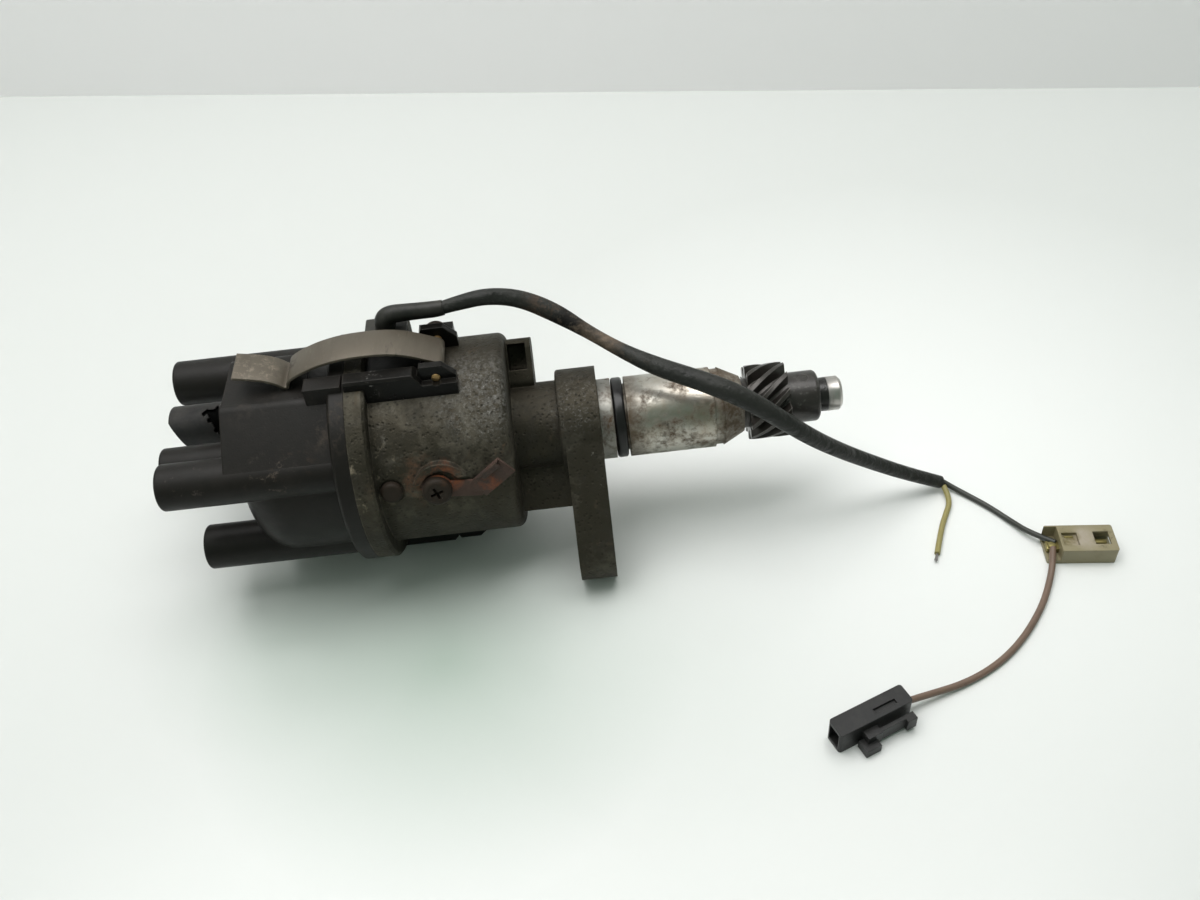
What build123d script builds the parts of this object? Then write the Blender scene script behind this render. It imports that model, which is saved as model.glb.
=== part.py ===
from build123d import *
from math import acos, cos, degrees, hypot, pi, radians, sin, sqrt, tan
import os

# Ignition distributor for a four-cylinder engine, lying on its side.
# X runs along the shaft towards the drive gear, Z is up, and the origin is the centre of the
# flange's seating face. Angles about the shaft start at -Y and climb towards +Z. All in mm.

# ---------------------------------------------------------------- fits
running = 0.05          # radial clearance of a shaft in its bush, or a clip on its pin
air = 0.3               # space between parts that pass each other
face_gap = 0.2          # end float

# ---------------------------------------------------------------- shaft
shaft_r = 6.0
spindle_r = 4.0         # reduced top of the shaft, which carries the cam sleeve
shaft_top_x = -48.2     # shoulder where the spindle begins
spindle_end_x = -84.2
neck_groove_x = 76.3
neck_groove_r = 5.8
tip_x = 79.7
shaft_end_x = 84.4
tip_chamfer = 1.0

# ---------------------------------------------------------------- housing casting
flange_thickness = 14.0
flange_r = 18.9
neck_r = 15.4
shoulder_x = -29.4
bowl_r = 34.0
rim_r = 39.3
rim_width = 6.4
seam_x = -80.4          # joint between housing and cap
bowl_bore_r = bowl_r - 3.4
bowl_lower_bore_r = bowl_bore_r - 1.6
ledge_x = -57.0         # step that the pick-up plate rests on
bowl_floor_x = -34.0
boss_r = 14.0
boss_x = -38.0
spigot_r = 14.0
groove_start_x = 4.7
groove_end_x = 9.5
groove_r = 11.6
relief_start_x = 39.2
relief_end_x = 42.2
relief_r = 13.2
nose_x = 49.5
nose_r = 9.8
oil_bore_r = 8.6
arm_thickness = 12.5
arm_angle = -48.6
arm_bolt_radius = 41.6
arm_end_r = 14.0
slot_width = 9.0
slot_sweep = 14.0       # degrees of timing adjustment
web_reach = 28.5
web_width = 13.0
lug_angle = 130.0
lug_reach = 31.2
lug_width = 13.0
lug_end_x = -21.0
lug_wall = 1.8
lug_corner_r = 3.4
register_r = rim_r - 3.3
register_depth = 3.0

# ---------------------------------------------------------------- bushes, seals
bush_wall = 2.0
upper_bush_length = 14.0
lower_bush_length = 16.0
seal_r = 11.0
seal_width = 6.8
ring_section_r = (spigot_r - groove_r) / 2
cap_seal_inner_r = register_r + 0.6
cap_seal_width = 1.8
cap_seal_depth = 1.2

# ---------------------------------------------------------------- drive gear
gear_start_x = 51.5
gear_width = 13.7
gear_r = 13.0
gear_root_r = 9.7
gear_teeth = 12
gear_helix = 38.0
hub_r = 8.95
gear_pin_r = 2.0
thrust_washer_r = 8.6

# ---------------------------------------------------------------- governor
shim_thickness = 1.0
shim_r = 10.0
governor_plate_x = -42.0
governor_plate_thickness = 2.0
governor_plate_r = 24.0
weight_thickness = 5.0
weight_pivot_radius = 18.0
weight_pin_r = 2.0
weight_drive_radius = 9.0
weight_drive_pin_r = 1.5
weight_inner_r = 8.5
weight_outer_r = 22.5
yoke_thickness = 1.3
yoke_r = 13.0
yoke_slot_clearance = 0.3
spring_post_radius = 22.0
spring_post_angle = -55.0
spring_ear_radius = 14.0
spring_ear_angle = 40.0
spring_post_r = 1.2
spring_x = -53.4
governor_coil_r = 1.7
governor_wire_r = 0.35
governor_coil_turns = 7

# ---------------------------------------------------------------- cam sleeve, rotor
sleeve_low_r = 6.8
sleeve_top_r = 6.0
sleeve_step_x = -60.0
sleeve_end_x = -86.0
screw_head_r = 4.8
reluctor_width = 6.0
reluctor_hub_r = 9.0
reluctor_tooth_r = 13.5
cylinders = 4
rotor_seat_x = -76.0
rotor_r = 10.5
rotor_end_x = -97.0
rotor_arm_width = 13.0
rotor_reach = 23.5
contact_thickness = 1.2
contact_reach = 25.2
contact_width = 6.0

# ---------------------------------------------------------------- pick-up plate and igniter
plate_thickness = 1.5
plate_hole_r = 16.0
side_screw_angle = 16.0
side_screw_x = -69.6
side_screw_head_r = 3.6
side_screw_head_height = 2.4
screw_shank_r = 2.0
tab_width = 12.0
pickup_angle = 61.0
pickup_back_r = bowl_bore_r - 4.1       # inner face of the pole's upright
pole_clearance = 0.6
coil_clearance = 2.0
coil_flange = 1.2
igniter_angle = 250.0
igniter_sweep = 96.0
igniter_height = 9.0
igniter_outer_r = bowl_bore_r - 2.2
igniter_inner_r = 17.5

# ---------------------------------------------------------------- earth terminal
earth_screw_x = -54.7
earth_screw_angle = 15.0
earth_screw_head_r = 4.8
earth_screw_head_height = 2.9
tab_thickness = 0.8
ridge_inner_r = 6.8     # crescent cast above the screw
ridge_outer_r = 9.4
earth_tab_width = 6.3

# ---------------------------------------------------------------- cap
cap_flange_x = -86.0
dome_r = 33.5
dome_end_x = -121.0
dome_corner_r = 15.0
cap_wall = 3.0
cap_end_wall = 4.5
tower_r = 7.75
tower_pitch_r = 29.0
tower_end_xs = (-144.0, -145.0, -144.0, -140.0)
centre_tower_r = 7.0
centre_tower_end_x = -153.0
socket_r = 4.6
socket_depth = 20.0
tower_angles = (31.0, 137.0, 195.0, 317.0)
boot_tower = 2          # this tower still carries a torn piece of lead boot
saddle_width = 29.0
saddle_r = dome_r + 0.8
saddle_depth = 18.0
saddle_corner_r = 4.0
saddle_start_x = -94.0
guide_start_x = -93.0    # lug on the cap in line with each bracket's rail
guide_end_x = -81.0
electrode_r = 3.0
electrode_end_x = -96.2
brush_r = 2.6
brush_length = 11.0
brush_travel = 2.0
brush_boss_r = 6.0
brush_boss_end_x = -104.0
boot_r = 8.9
boot_bore_r = 3.6
boot_end_x = -157.0
boot_lap = 4.0          # length of boot left on its tower

# ---------------------------------------------------------------- spring clips
clip_width = 12.5
clip_thickness = 1.0
clip_pin_x = -50.7
clip_pin_height = bowl_r + 2.8
bracket_front_x = -58.6
bracket_back_x = -44.2
clip_pin_r = 1.5
clip_pin_half = 11.4
clip_crest = rim_r + 5.7
clip_curl_turn = 215.0
clip_bends = (28.0, 22.0, 2.4, 6.0)
ear_inner = 8.5
ear_thickness = 2.5
ear_top = clip_pin_height + 4.6
rail_inner = 7.4
rail_outer = 13.5
rail_top = clip_pin_height + 3.4
foot_y = 15.0
foot_x = -51.8
bed_top = clip_pin_height - 0.8
bed_base = bowl_r - 6.0
pad_z = bowl_r - 0.4
pad_base = bowl_r - 12.0
pad_half = 5.75         # cast pad under each bracket screw
pad_inner = 9.8
pad_outer = 19.4
foot_thickness = 1.6
bracket_head_r = 3.6
bracket_head_height = 2.5

# ---------------------------------------------------------------- lead outlet
outlet_x = -67.4
outlet_y = 13.4
outlet_top = bowl_r + 5.2
outlet_half = 7.2
outlet_half_width = 5.3
outlet_hole_r = 3.6
elbow_r = 3.15
elbow_height = outlet_top + 6.0
elbow_end_x = -49.5
sleeve_r = 2.7
wire_r = 1.0
brown_r = 1.1

# ---------------------------------------------------------------- plugs
white_length = 23.0
white_width = 11.6
white_height = 6.6
black_length = 26.5
black_width = 6.8
black_height = 9.6
latch_gap = 1.4
latch_thickness = 1.3
white_plug_xy = (160.6, -45.6)          # where each plug lies, and how far it is turned
white_plug_turn = -7.2
black_plug_xy = (72.4, -104.6)
black_plug_turn = 21.4

os.makedirs("parts", exist_ok=True)


# ---------------------------------------------------------------- helpers
def around(radius, angle):
    """(Y, Z) of a point about the shaft."""
    return (-radius * cos(radians(angle)), radius * sin(radians(angle)))


def spoke_plane(x, radius, angle):
    """Plane square to a radius: its X runs along the shaft and its Z points outwards."""
    y, z = around(1, angle)
    return Plane(origin=(x, radius * y, radius * z), x_dir=(1, 0, 0), z_dir=(0, y, z))


def turned(points, mode=Mode.ADD):
    """Turn a closed (x, radius) outline about the shaft axis."""
    with BuildSketch(Plane.XY) as outline:
        with BuildLine():
            Polyline(*points, close=True)
        make_face()
    revolve(outline.sketch, axis=Axis.X, mode=mode)


def ring(x_start, x_end, outer_r, inner_r=0.0, centre=(0, 0), mode=Mode.ADD):
    """Round bar or tube parallel to the shaft."""
    with BuildSketch(Plane.YZ.offset(x_start)) as outline:
        with Locations(centre):
            Circle(outer_r)
            if inner_r:
                Circle(inner_r, mode=Mode.SUBTRACT)
    extrude(outline.sketch, amount=x_end - x_start, mode=mode)


def block(x, y, z, mode=Mode.ADD):
    """Box between two limits on each axis."""
    with Locations(((x[0] + x[1]) / 2, (y[0] + y[1]) / 2, (z[0] + z[1]) / 2)):
        Box(abs(x[1] - x[0]), abs(y[1] - y[0]), abs(z[1] - z[0]), mode=mode)


def spoke(plane, radius, length, mode=Mode.ADD):
    """Round bar that rises from a plane."""
    with BuildSketch(plane) as outline:
        Circle(radius)
    extrude(outline.sketch, amount=length, mode=mode)


def save(piece, name):
    piece.part.label = name
    export_step(piece.part, f"parts/{name}.step")


def mirrored(piece):
    """The same piece reflected to the underside of the shaft."""
    return mirror(piece.part, about=Plane.XY)


# ---------------------------------------------------------------- derived places
bush_r = shaft_r + running + bush_wall
neck_bush_x = boss_x + seal_width
rim_end_x = seam_x + rim_width
tower_places = [around(tower_pitch_r, angle) for angle in tower_angles]
clip_bore_r = clip_pin_r + running
curl_r = clip_bore_r + clip_thickness / 2
arm_place = around(arm_bolt_radius, arm_angle)

# ---------------------------------------------------------------- clips and their brackets
with BuildPart() as clip_upper:
    with BuildSketch(Plane.XZ) as clip_profile:
        with BuildLine() as clip_line:
            curl = CenterArc((clip_pin_x, clip_pin_height), curl_r, 65 - clip_curl_turn, clip_curl_turn)
            FilletPolyline(
                curl @ 1, (-62.0, clip_crest - 0.8), (-80.0, clip_crest), (-99.0, saddle_r + 0.2),
                (-107.0, clip_crest - 5.0), (-115.5, clip_crest - 3.4),
                radius=list(clip_bends),
            )
        trace(line_width=clip_thickness)
    extrude(amount=clip_width / 2, both=True)
save(clip_upper, "clip_upper")
with BuildPart() as clip_lower:
    add(mirrored(clip_upper))
save(clip_lower, "clip_lower")

clip_reach = clip_upper.part.bounding_box().max.Z
floor_z = -clip_reach

with BuildPart() as clip_pin_upper:
    with BuildSketch(Plane.XZ):
        with Locations((clip_pin_x, clip_pin_height)):
            Circle(clip_pin_r)
    extrude(amount=clip_pin_half, both=True)
    chamfer(clip_pin_upper.edges().filter_by(GeomType.CIRCLE), 0.25)
save(clip_pin_upper, "clip_pin_upper")
with BuildPart() as clip_pin_lower:
    add(mirrored(clip_pin_upper))
save(clip_pin_lower, "clip_pin_lower")

ear_outline = [
    (bracket_front_x, pad_z - 0.6), (bracket_front_x + 3, ear_top), (bracket_back_x - 4.2, ear_top),
    (bracket_back_x, ear_top - 4.4), (bracket_back_x, pad_z - 0.6),
]
rail_outline = [
    (seam_x + 0.3, bed_base), (seam_x + 0.3, rail_top), (-58.0, rail_top), (-56.0, rail_top - 2.6),
    (-52.0, bed_base),
]

with BuildPart() as bracket_upper:
    # bed between the rail and the far ear, open under the clip's curl
    block((seam_x + 0.3, -56.0), (-rail_outer, rail_inner), (bed_base, bed_top))
    # rail along the near side
    with BuildSketch(Plane.XZ.offset(rail_inner)):
        with BuildLine():
            Polyline(*rail_outline, close=True)
        make_face()
    extrude(amount=rail_outer - rail_inner)
    chamfer(bracket_upper.edges().filter_by(Axis.X).sort_by(Axis.Z)[-2:], 0.8)
    # ears that hold the pin
    for side in (-1, 1):
        with BuildSketch(Plane.XZ.offset(-side * ear_inner)):
            with BuildLine():
                Polyline(*ear_outline, close=True)
            make_face()
        extrude(amount=-side * ear_thickness)
    block((bracket_front_x, bracket_back_x), (-rail_outer, -ear_inner), (bed_base, bed_top))
    ear_outer = ear_inner + ear_thickness
    block((outlet_x + outlet_half + 0.2, -56.0), (rail_inner - 1, ear_outer), (bed_base, bed_top))
    # foot under the screw
    block((-57.5, -46.0), (ear_inner, foot_y + 4.2), (pad_z, pad_z + foot_thickness))
    # the housing, its rim and its screw pad are cut away below
    ring(seam_x, shoulder_x, bowl_r, mode=Mode.SUBTRACT)
    ring(seam_x, rim_end_x, rim_r, mode=Mode.SUBTRACT)
    bracket_span = (bracket_front_x, bracket_back_x + 0.2)
    block(bracket_span, (ear_outer, foot_y + 5), (pad_base, pad_z), mode=Mode.SUBTRACT)
    block(bracket_span, (pad_inner - 0.1, ear_outer), (pad_base, pad_z), mode=Mode.SUBTRACT)
    with BuildSketch(Plane.XZ):
        with Locations((clip_pin_x, clip_pin_height)):
            Circle(clip_pin_r)
    extrude(amount=rail_outer + 5, both=True, mode=Mode.SUBTRACT)
    with Locations((foot_x, foot_y, pad_z)):
        Cylinder(screw_shank_r, 8, mode=Mode.SUBTRACT)
save(bracket_upper, "clip_bracket_upper")
with BuildPart() as bracket_lower:
    add(mirrored(bracket_upper))
save(bracket_lower, "clip_bracket_lower")

with BuildPart() as bracket_screw:
    with BuildSketch(Plane.XY.offset(pad_z + foot_thickness)):
        with Locations((foot_x, foot_y)):
            Circle(bracket_head_r)
    extrude(amount=bracket_head_height)
    fillet(bracket_screw.edges().group_by(Axis.Z)[-1], 1.9)
    with BuildSketch(Plane.XY.offset(pad_z + foot_thickness)):
        with Locations((foot_x, foot_y)):
            Circle(screw_shank_r)
    extrude(amount=-9)
with BuildPart() as bracket_screws:
    add(bracket_screw.part)
    add(mirrored(bracket_screw))
save(bracket_screws, "bracket_screws")

# ---------------------------------------------------------------- housing
housing_outline = [
    (seam_x, rim_r), (rim_end_x - 1.0, rim_r), (rim_end_x, rim_r - 1.0),
    (rim_end_x, bowl_r), (shoulder_x, bowl_r), (shoulder_x, neck_r), (-flange_thickness, neck_r),
    (-flange_thickness, flange_r), (0, flange_r), (0, spigot_r), (groove_start_x, spigot_r),
    (groove_start_x, groove_r), (groove_end_x, groove_r), (groove_end_x, spigot_r),
    (relief_start_x, spigot_r), (relief_start_x, relief_r), (relief_end_x, relief_r),
    (relief_end_x, spigot_r - 0.4), (nose_x, nose_r), (nose_x, 0), (seam_x, 0),
]
housing_cavity = [
    (seam_x, 0), (seam_x, register_r), (seam_x + register_depth, register_r),
    (seam_x + register_depth, bowl_bore_r), (ledge_x, bowl_bore_r), (ledge_x, bowl_lower_bore_r),
    (bowl_floor_x, bowl_lower_bore_r), (bowl_floor_x, boss_r), (boss_x, boss_r), (boss_x, 0),
]
slot_start = 180 - arm_angle - slot_sweep / 2
slot_line = CenterArc((0, 0), arm_bolt_radius, slot_start, slot_sweep, mode=Mode.PRIVATE)
with BuildPart() as housing:
    turned(housing_outline)
    round_edges = housing.edges().filter_by(GeomType.CIRCLE)
    fillet([e for e in round_edges if abs(e.center().X - shoulder_x) < 0.01 and e.radius > bowl_r - 1], 3.0)
    flange_edges = [e for e in round_edges if abs(e.center().X + flange_thickness) < 0.01]
    fillet([e for e in flange_edges if e.radius > neck_r + 1], 1.0)
    # clamp arm
    with BuildSketch(Plane.YZ.offset(-arm_thickness)):
        Circle(flange_r - 0.6)
        with Locations(arm_place):
            Circle(arm_end_r)
        make_hull()
    extrude(amount=arm_thickness)
    # web from the neck to the arm
    with BuildSketch(Plane.YZ.offset(shoulder_x - 2)):
        with Locations(around(web_reach - 10, arm_angle)):
            Rectangle(20, web_width, rotation=180 - arm_angle)
    extrude(amount=-arm_thickness - shoulder_x + 2)
    # hooded lug on the shoulder, hollowed from one side
    with BuildSketch(Plane.YZ.offset(shoulder_x - 6)):
        with Locations(around(lug_reach - 9, lug_angle)):
            RectangleRounded(18, lug_width, lug_corner_r, rotation=180 - lug_angle)
    extrude(amount=lug_end_x - shoulder_x + 6)
    with BuildSketch(Plane.YZ.offset(shoulder_x + 0.4)):
        with Locations(Location(around(lug_reach - lug_wall - 4.5, lug_angle), 180 - lug_angle)):
            with Locations((0, lug_width / 2 - 3)):
                RectangleRounded(9, 10, lug_corner_r - lug_wall)
    extrude(amount=lug_end_x - lug_wall - shoulder_x - 0.4, mode=Mode.SUBTRACT)
    # raised crescent over the earth screw
    with BuildSketch(spoke_plane(earth_screw_x + 1.5, bowl_r - 3, earth_screw_angle)):
        Circle(ridge_outer_r)
        Circle(ridge_inner_r, mode=Mode.SUBTRACT)
        with Locations(Location((0, -2.8), 6)):
            Rectangle(26, 12, mode=Mode.SUBTRACT)
        with Locations((0, -10)):
            Rectangle(26, 10, mode=Mode.SUBTRACT)
    extrude(amount=4.4)
    # pads for the bracket screws and the lead outlet
    for side in (1, -1):
        block((foot_x - pad_half, foot_x + pad_half), (pad_inner, pad_outer), (side * pad_base, side * pad_z))
    block((outlet_x - outlet_half, outlet_x + outlet_half), (outlet_y - outlet_half_width, outlet_y + outlet_half_width),
          (pad_base, outlet_top))
    # inside
    turned(housing_cavity, mode=Mode.SUBTRACT)
    ring(boss_x, neck_bush_x, seal_r, mode=Mode.SUBTRACT)
    ring(neck_bush_x, nose_x, bush_r, mode=Mode.SUBTRACT)
    ring(neck_bush_x + upper_bush_length, nose_x - lower_bush_length, oil_bore_r, mode=Mode.SUBTRACT)
    cap_seal_outer_r = cap_seal_inner_r + cap_seal_width
    ring(seam_x, seam_x + cap_seal_depth, cap_seal_outer_r, cap_seal_inner_r, mode=Mode.SUBTRACT)
    # timing slot in the arm
    with BuildSketch(Plane.YZ.offset(-arm_thickness)):
        SlotArc(slot_line, slot_width)
    extrude(amount=arm_thickness, mode=Mode.SUBTRACT)
    # screw holes
    for angle in (side_screw_angle, side_screw_angle + 180):
        spoke(spoke_plane(side_screw_x, bowl_r - 0.4, angle), side_screw_head_r + 0.6, 4, mode=Mode.SUBTRACT)
        spoke(spoke_plane(side_screw_x, bowl_r, angle), screw_shank_r, -6, mode=Mode.SUBTRACT)
    spoke(spoke_plane(earth_screw_x, bowl_r + 1, earth_screw_angle), screw_shank_r, -5.0, mode=Mode.SUBTRACT)
    for side in (1, -1):
        with Locations((foot_x, foot_y, side * (pad_z - 3.7))):
            Cylinder(screw_shank_r, 7.4, mode=Mode.SUBTRACT)
    with Locations((outlet_x, outlet_y, outlet_top - 5)):
        Cylinder(outlet_hole_r, 14, mode=Mode.SUBTRACT)
save(housing, "housing")

# ---------------------------------------------------------------- bushes and seals
with BuildPart() as upper_bush:
    ring(neck_bush_x, neck_bush_x + upper_bush_length, bush_r, shaft_r + running)
save(upper_bush, "upper_bush")

with BuildPart() as lower_bush:
    ring(nose_x - lower_bush_length, nose_x, bush_r, shaft_r + running)
save(lower_bush, "lower_bush")

with BuildPart() as oil_seal:
    ring(boss_x, neck_bush_x, seal_r, shaft_r + running)
save(oil_seal, "oil_seal")

with BuildPart() as thrust_shim:
    ring(boss_x - shim_thickness, boss_x, shim_r, shaft_r + running)
save(thrust_shim, "thrust_shim")

with BuildPart() as o_ring:
    with BuildSketch(Plane.XY):
        with Locations(((groove_start_x + groove_end_x) / 2, groove_r + ring_section_r)):
            Circle(ring_section_r)
    revolve(axis=Axis.X)
save(o_ring, "spigot_o_ring")

with BuildPart() as cap_seal:
    ring(seam_x, seam_x + cap_seal_depth, cap_seal_inner_r + cap_seal_width, cap_seal_inner_r)
save(cap_seal, "cap_seal")

# ---------------------------------------------------------------- side screws and earth terminal
with BuildPart() as side_screws:
    for angle in (side_screw_angle, side_screw_angle + 180):
        seat = spoke_plane(side_screw_x, bowl_r - 0.4, angle)
        spoke(seat, side_screw_head_r, side_screw_head_height)
        spoke(seat, screw_shank_r, -5.6)
    rims = side_screws.edges().filter_by(GeomType.CIRCLE)
    fillet([e for e in rims if hypot(e.center().Y, e.center().Z) > bowl_r + 1], 1.3)
save(side_screws, "side_screws")

tangent = spoke_plane(earth_screw_x, bowl_r, earth_screw_angle)
with BuildPart() as earth_terminal:
    with BuildSketch(tangent):
        with BuildLine():
            Polyline((0, 0), (11.5, -1.0), (22.5, 9.5))
        trace(line_width=earth_tab_width)
        Circle(5.2)
        Circle(screw_shank_r, mode=Mode.SUBTRACT)
    extrude(amount=tab_thickness)
save(earth_terminal, "earth_terminal")

with BuildPart() as earth_screw:
    spoke(tangent.offset(tab_thickness), earth_screw_head_r, earth_screw_head_height)
    fillet(earth_screw.faces().sort_by(Axis.Y)[0].edges(), 1.6)
    spoke(tangent.offset(tab_thickness), screw_shank_r, -4.6)
    with BuildSketch(tangent.offset(tab_thickness + earth_screw_head_height)):
        Rectangle(4.4, 1.0, rotation=20)
        Rectangle(1.0, 4.4, rotation=20)
    extrude(amount=-1.8, mode=Mode.SUBTRACT)
save(earth_screw, "earth_screw")

# ---------------------------------------------------------------- shaft and drive gear
pin_x = (gear_start_x + gear_width + neck_groove_x) / 2
with BuildPart() as shaft:
    turned([
        (spindle_end_x, 0), (spindle_end_x, spindle_r), (shaft_top_x, spindle_r), (shaft_top_x, shaft_r),
        (neck_groove_x, shaft_r), (neck_groove_x, neck_groove_r), (tip_x, neck_groove_r), (tip_x, shaft_r),
        (shaft_end_x - tip_chamfer, shaft_r), (shaft_end_x, shaft_r - tip_chamfer), (shaft_end_x, 0),
    ])
    with Locations((pin_x, 0, 0)):
        Cylinder(gear_pin_r, 2 * shaft_r + 2, mode=Mode.SUBTRACT)
    ring(spindle_end_x, spindle_end_x + 8, 1.6, mode=Mode.SUBTRACT)
save(shaft, "shaft")

with BuildPart() as thrust_washer:
    ring(nose_x + face_gap, gear_start_x, thrust_washer_r, shaft_r)
save(thrust_washer, "thrust_washer")

tooth_tip_half = 4.2
tooth_root_half = 11.6
pitch_r = (gear_r + gear_root_r) / 2
gear_twist = degrees(gear_width * tan(radians(gear_helix)) / pitch_r)


def polar(radius, angle):
    return (radius * cos(radians(angle)), radius * sin(radians(angle)))


with BuildPart() as drive_gear:
    tooth_points = []
    for tooth in range(gear_teeth):
        middle = 360 / gear_teeth * tooth
        tooth_points += [
            polar(gear_root_r, middle - tooth_root_half), polar(gear_r, middle - tooth_tip_half),
            polar(gear_r, middle + tooth_tip_half), polar(gear_root_r, middle + tooth_root_half),
        ]
    with BuildSketch(Plane.YZ.offset(gear_start_x)) as gear_face:
        with BuildLine():
            Polyline(*tooth_points, close=True)
        make_face()
    add(Solid.extrude_linear_with_rotation(
        gear_face.sketch.faces()[0], center=(gear_start_x, 0, 0), normal=(gear_width, 0, 0), angle=-gear_twist))
    ring(gear_start_x + gear_width, neck_groove_x, hub_r)
    hub_circles = drive_gear.edges().filter_by(GeomType.CIRCLE)
    fillet([e for e in hub_circles if abs(e.center().X - neck_groove_x) < 0.01], 1.6)
    ring(gear_start_x - 1, neck_groove_x + 1, shaft_r, mode=Mode.SUBTRACT)
    with Locations((pin_x, 0, 0)):
        Cylinder(gear_pin_r, 2 * hub_r + 2, mode=Mode.SUBTRACT)
save(drive_gear, "drive_gear")

with BuildPart() as gear_pin:
    with Locations((pin_x, 0, 0)):
        Cylinder(gear_pin_r, 2 * hub_r - 0.6)
save(gear_pin, "gear_pin")

# ---------------------------------------------------------------- governor
plate_end_x = governor_plate_x + governor_plate_thickness
weight_start_x = governor_plate_x - air
weight_end_x = weight_start_x - weight_thickness
yoke_x = shaft_top_x - 0.1
with BuildPart() as governor_plate:
    ring(governor_plate_x, plate_end_x, governor_plate_r, shaft_r)
    ring(plate_end_x, boss_x - shim_thickness - face_gap, 9.0, shaft_r)
    for turn in (0, 180):
        place = polar(weight_pivot_radius, turn)
        ring(governor_plate_x, plate_end_x, weight_pin_r, centre=place, mode=Mode.SUBTRACT)
        post = polar(spring_post_radius, spring_post_angle + turn)
        ring(spring_x - 2.1, governor_plate_x, spring_post_r, centre=post)
save(governor_plate, "governor_plate")

with BuildPart() as pivot_pins:
    for turn in (0, 180):
        place = polar(weight_pivot_radius, turn)
        ring(weight_end_x - 0.2, plate_end_x, weight_pin_r, centre=place)
        ring(weight_end_x - 0.9, weight_end_x - 0.2, weight_pin_r + 1.0, centre=place)
save(pivot_pins, "weight_pivot_pins")


def governor_weight(turn):
    """Bob weight: a curved mass on a pivot, with a pin that drives the yoke above it."""
    pivot = polar(weight_pivot_radius, turn)
    drive = polar(weight_drive_radius, turn)
    with BuildPart() as weight:
        with BuildSketch(Plane.YZ.offset(weight_end_x)):
            with BuildLine():
                CenterArc((0, 0), weight_outer_r, turn + 10, 84)
                CenterArc((0, 0), weight_inner_r, turn + 24, 70)
                Line(polar(weight_outer_r, turn + 94), polar(weight_inner_r, turn + 94))
                Line(polar(weight_outer_r, turn + 10), polar(weight_inner_r, turn + 24))
            make_face()
        extrude(amount=weight_thickness)
        with BuildSketch(Plane.YZ.offset(weight_end_x)):
            with Locations(pivot):
                Circle(4.2)
            with Locations(drive):
                Circle(2.3)
            make_hull()
        extrude(amount=weight_thickness)
        ring(weight_end_x, weight_start_x, weight_pin_r + running, centre=pivot, mode=Mode.SUBTRACT)
        ring(weight_end_x - 2.9, weight_end_x, weight_drive_pin_r, centre=drive)
    return weight


weight_a = governor_weight(0)
save(weight_a, "governor_weight_a")
weight_b = governor_weight(180)
save(weight_b, "governor_weight_b")


def coil_spring(start, end, coil_r, wire_r, turns):
    """Helical spring between two points, ends cut square."""
    length = (Vector(end) - Vector(start)).length
    along = (Vector(end) - Vector(start)).normalized()
    with BuildPart() as spring:
        with BuildLine():
            helix = Helix(pitch=length / turns, height=length, radius=coil_r, center=start, direction=along)
        with BuildSketch(Plane(origin=helix @ 0, z_dir=helix % 0)):
            Circle(wire_r)
        sweep(is_frenet=True)
    return spring


for name, turn in (("governor_spring_a", 0), ("governor_spring_b", 180)):
    ear = Vector(spring_x, *polar(spring_ear_radius, spring_ear_angle + turn))
    post = Vector(spring_x, *polar(spring_post_radius, spring_post_angle + turn))
    gap = (post - ear).normalized() * (spring_post_r + governor_wire_r + 0.1)
    spring = coil_spring(ear + gap, post - gap, governor_coil_r, governor_wire_r, governor_coil_turns)
    save(spring, name)

# ---------------------------------------------------------------- cam sleeve, reluctor, rotor
with BuildPart() as cam_sleeve:
    bore = spindle_r + running
    turned([
        (yoke_x, bore), (yoke_x, yoke_r), (yoke_x - yoke_thickness, yoke_r), (yoke_x - yoke_thickness, sleeve_low_r),
        (sleeve_step_x, sleeve_low_r), (sleeve_step_x, sleeve_top_r), (sleeve_end_x, sleeve_top_r),
        (sleeve_end_x, screw_head_r + air), (spindle_end_x + face_gap, screw_head_r + air),
        (spindle_end_x + face_gap, bore),
    ])
    for turn in (0, 180):
        ear = polar(spring_ear_radius, spring_ear_angle + turn)
        ring(yoke_x - yoke_thickness, yoke_x, 2.6, centre=ear)
        ring(spring_x - 2.1, yoke_x - yoke_thickness, spring_post_r, centre=ear)
        with BuildSketch(Plane.YZ.offset(yoke_x - yoke_thickness)):
            with Locations(Location(polar(weight_drive_radius + 0.25, turn), turn)):
                SlotOverall(4.8, 2 * (weight_drive_pin_r + yoke_slot_clearance))
        extrude(amount=yoke_thickness, mode=Mode.SUBTRACT)
    flat = sleeve_top_r - 0.9
    block((sleeve_end_x, rotor_seat_x), (flat, sleeve_top_r + 1), (-8, 8), mode=Mode.SUBTRACT)
save(cam_sleeve, "cam_sleeve")

with BuildPart() as sleeve_screw:
    ring(spindle_end_x - 2.2, spindle_end_x, screw_head_r)
    ring(spindle_end_x, spindle_end_x + 7, 1.6)
    block((spindle_end_x - 2.2, spindle_end_x - 1.2), (-6, 6), (-0.6, 0.6), mode=Mode.SUBTRACT)
save(sleeve_screw, "sleeve_screw")

with BuildPart() as reluctor:
    with BuildSketch(Plane.YZ.offset(sleeve_step_x - reluctor_width)):
        Circle(reluctor_hub_r)
        with PolarLocations(reluctor_tooth_r / 2 + 2, cylinders, start_angle=14):
            Rectangle(reluctor_tooth_r - 4, 3.6)
        Circle(reluctor_tooth_r, mode=Mode.INTERSECT)
        Circle(sleeve_top_r, mode=Mode.SUBTRACT)
    extrude(amount=reluctor_width)
save(reluctor, "reluctor")

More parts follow.
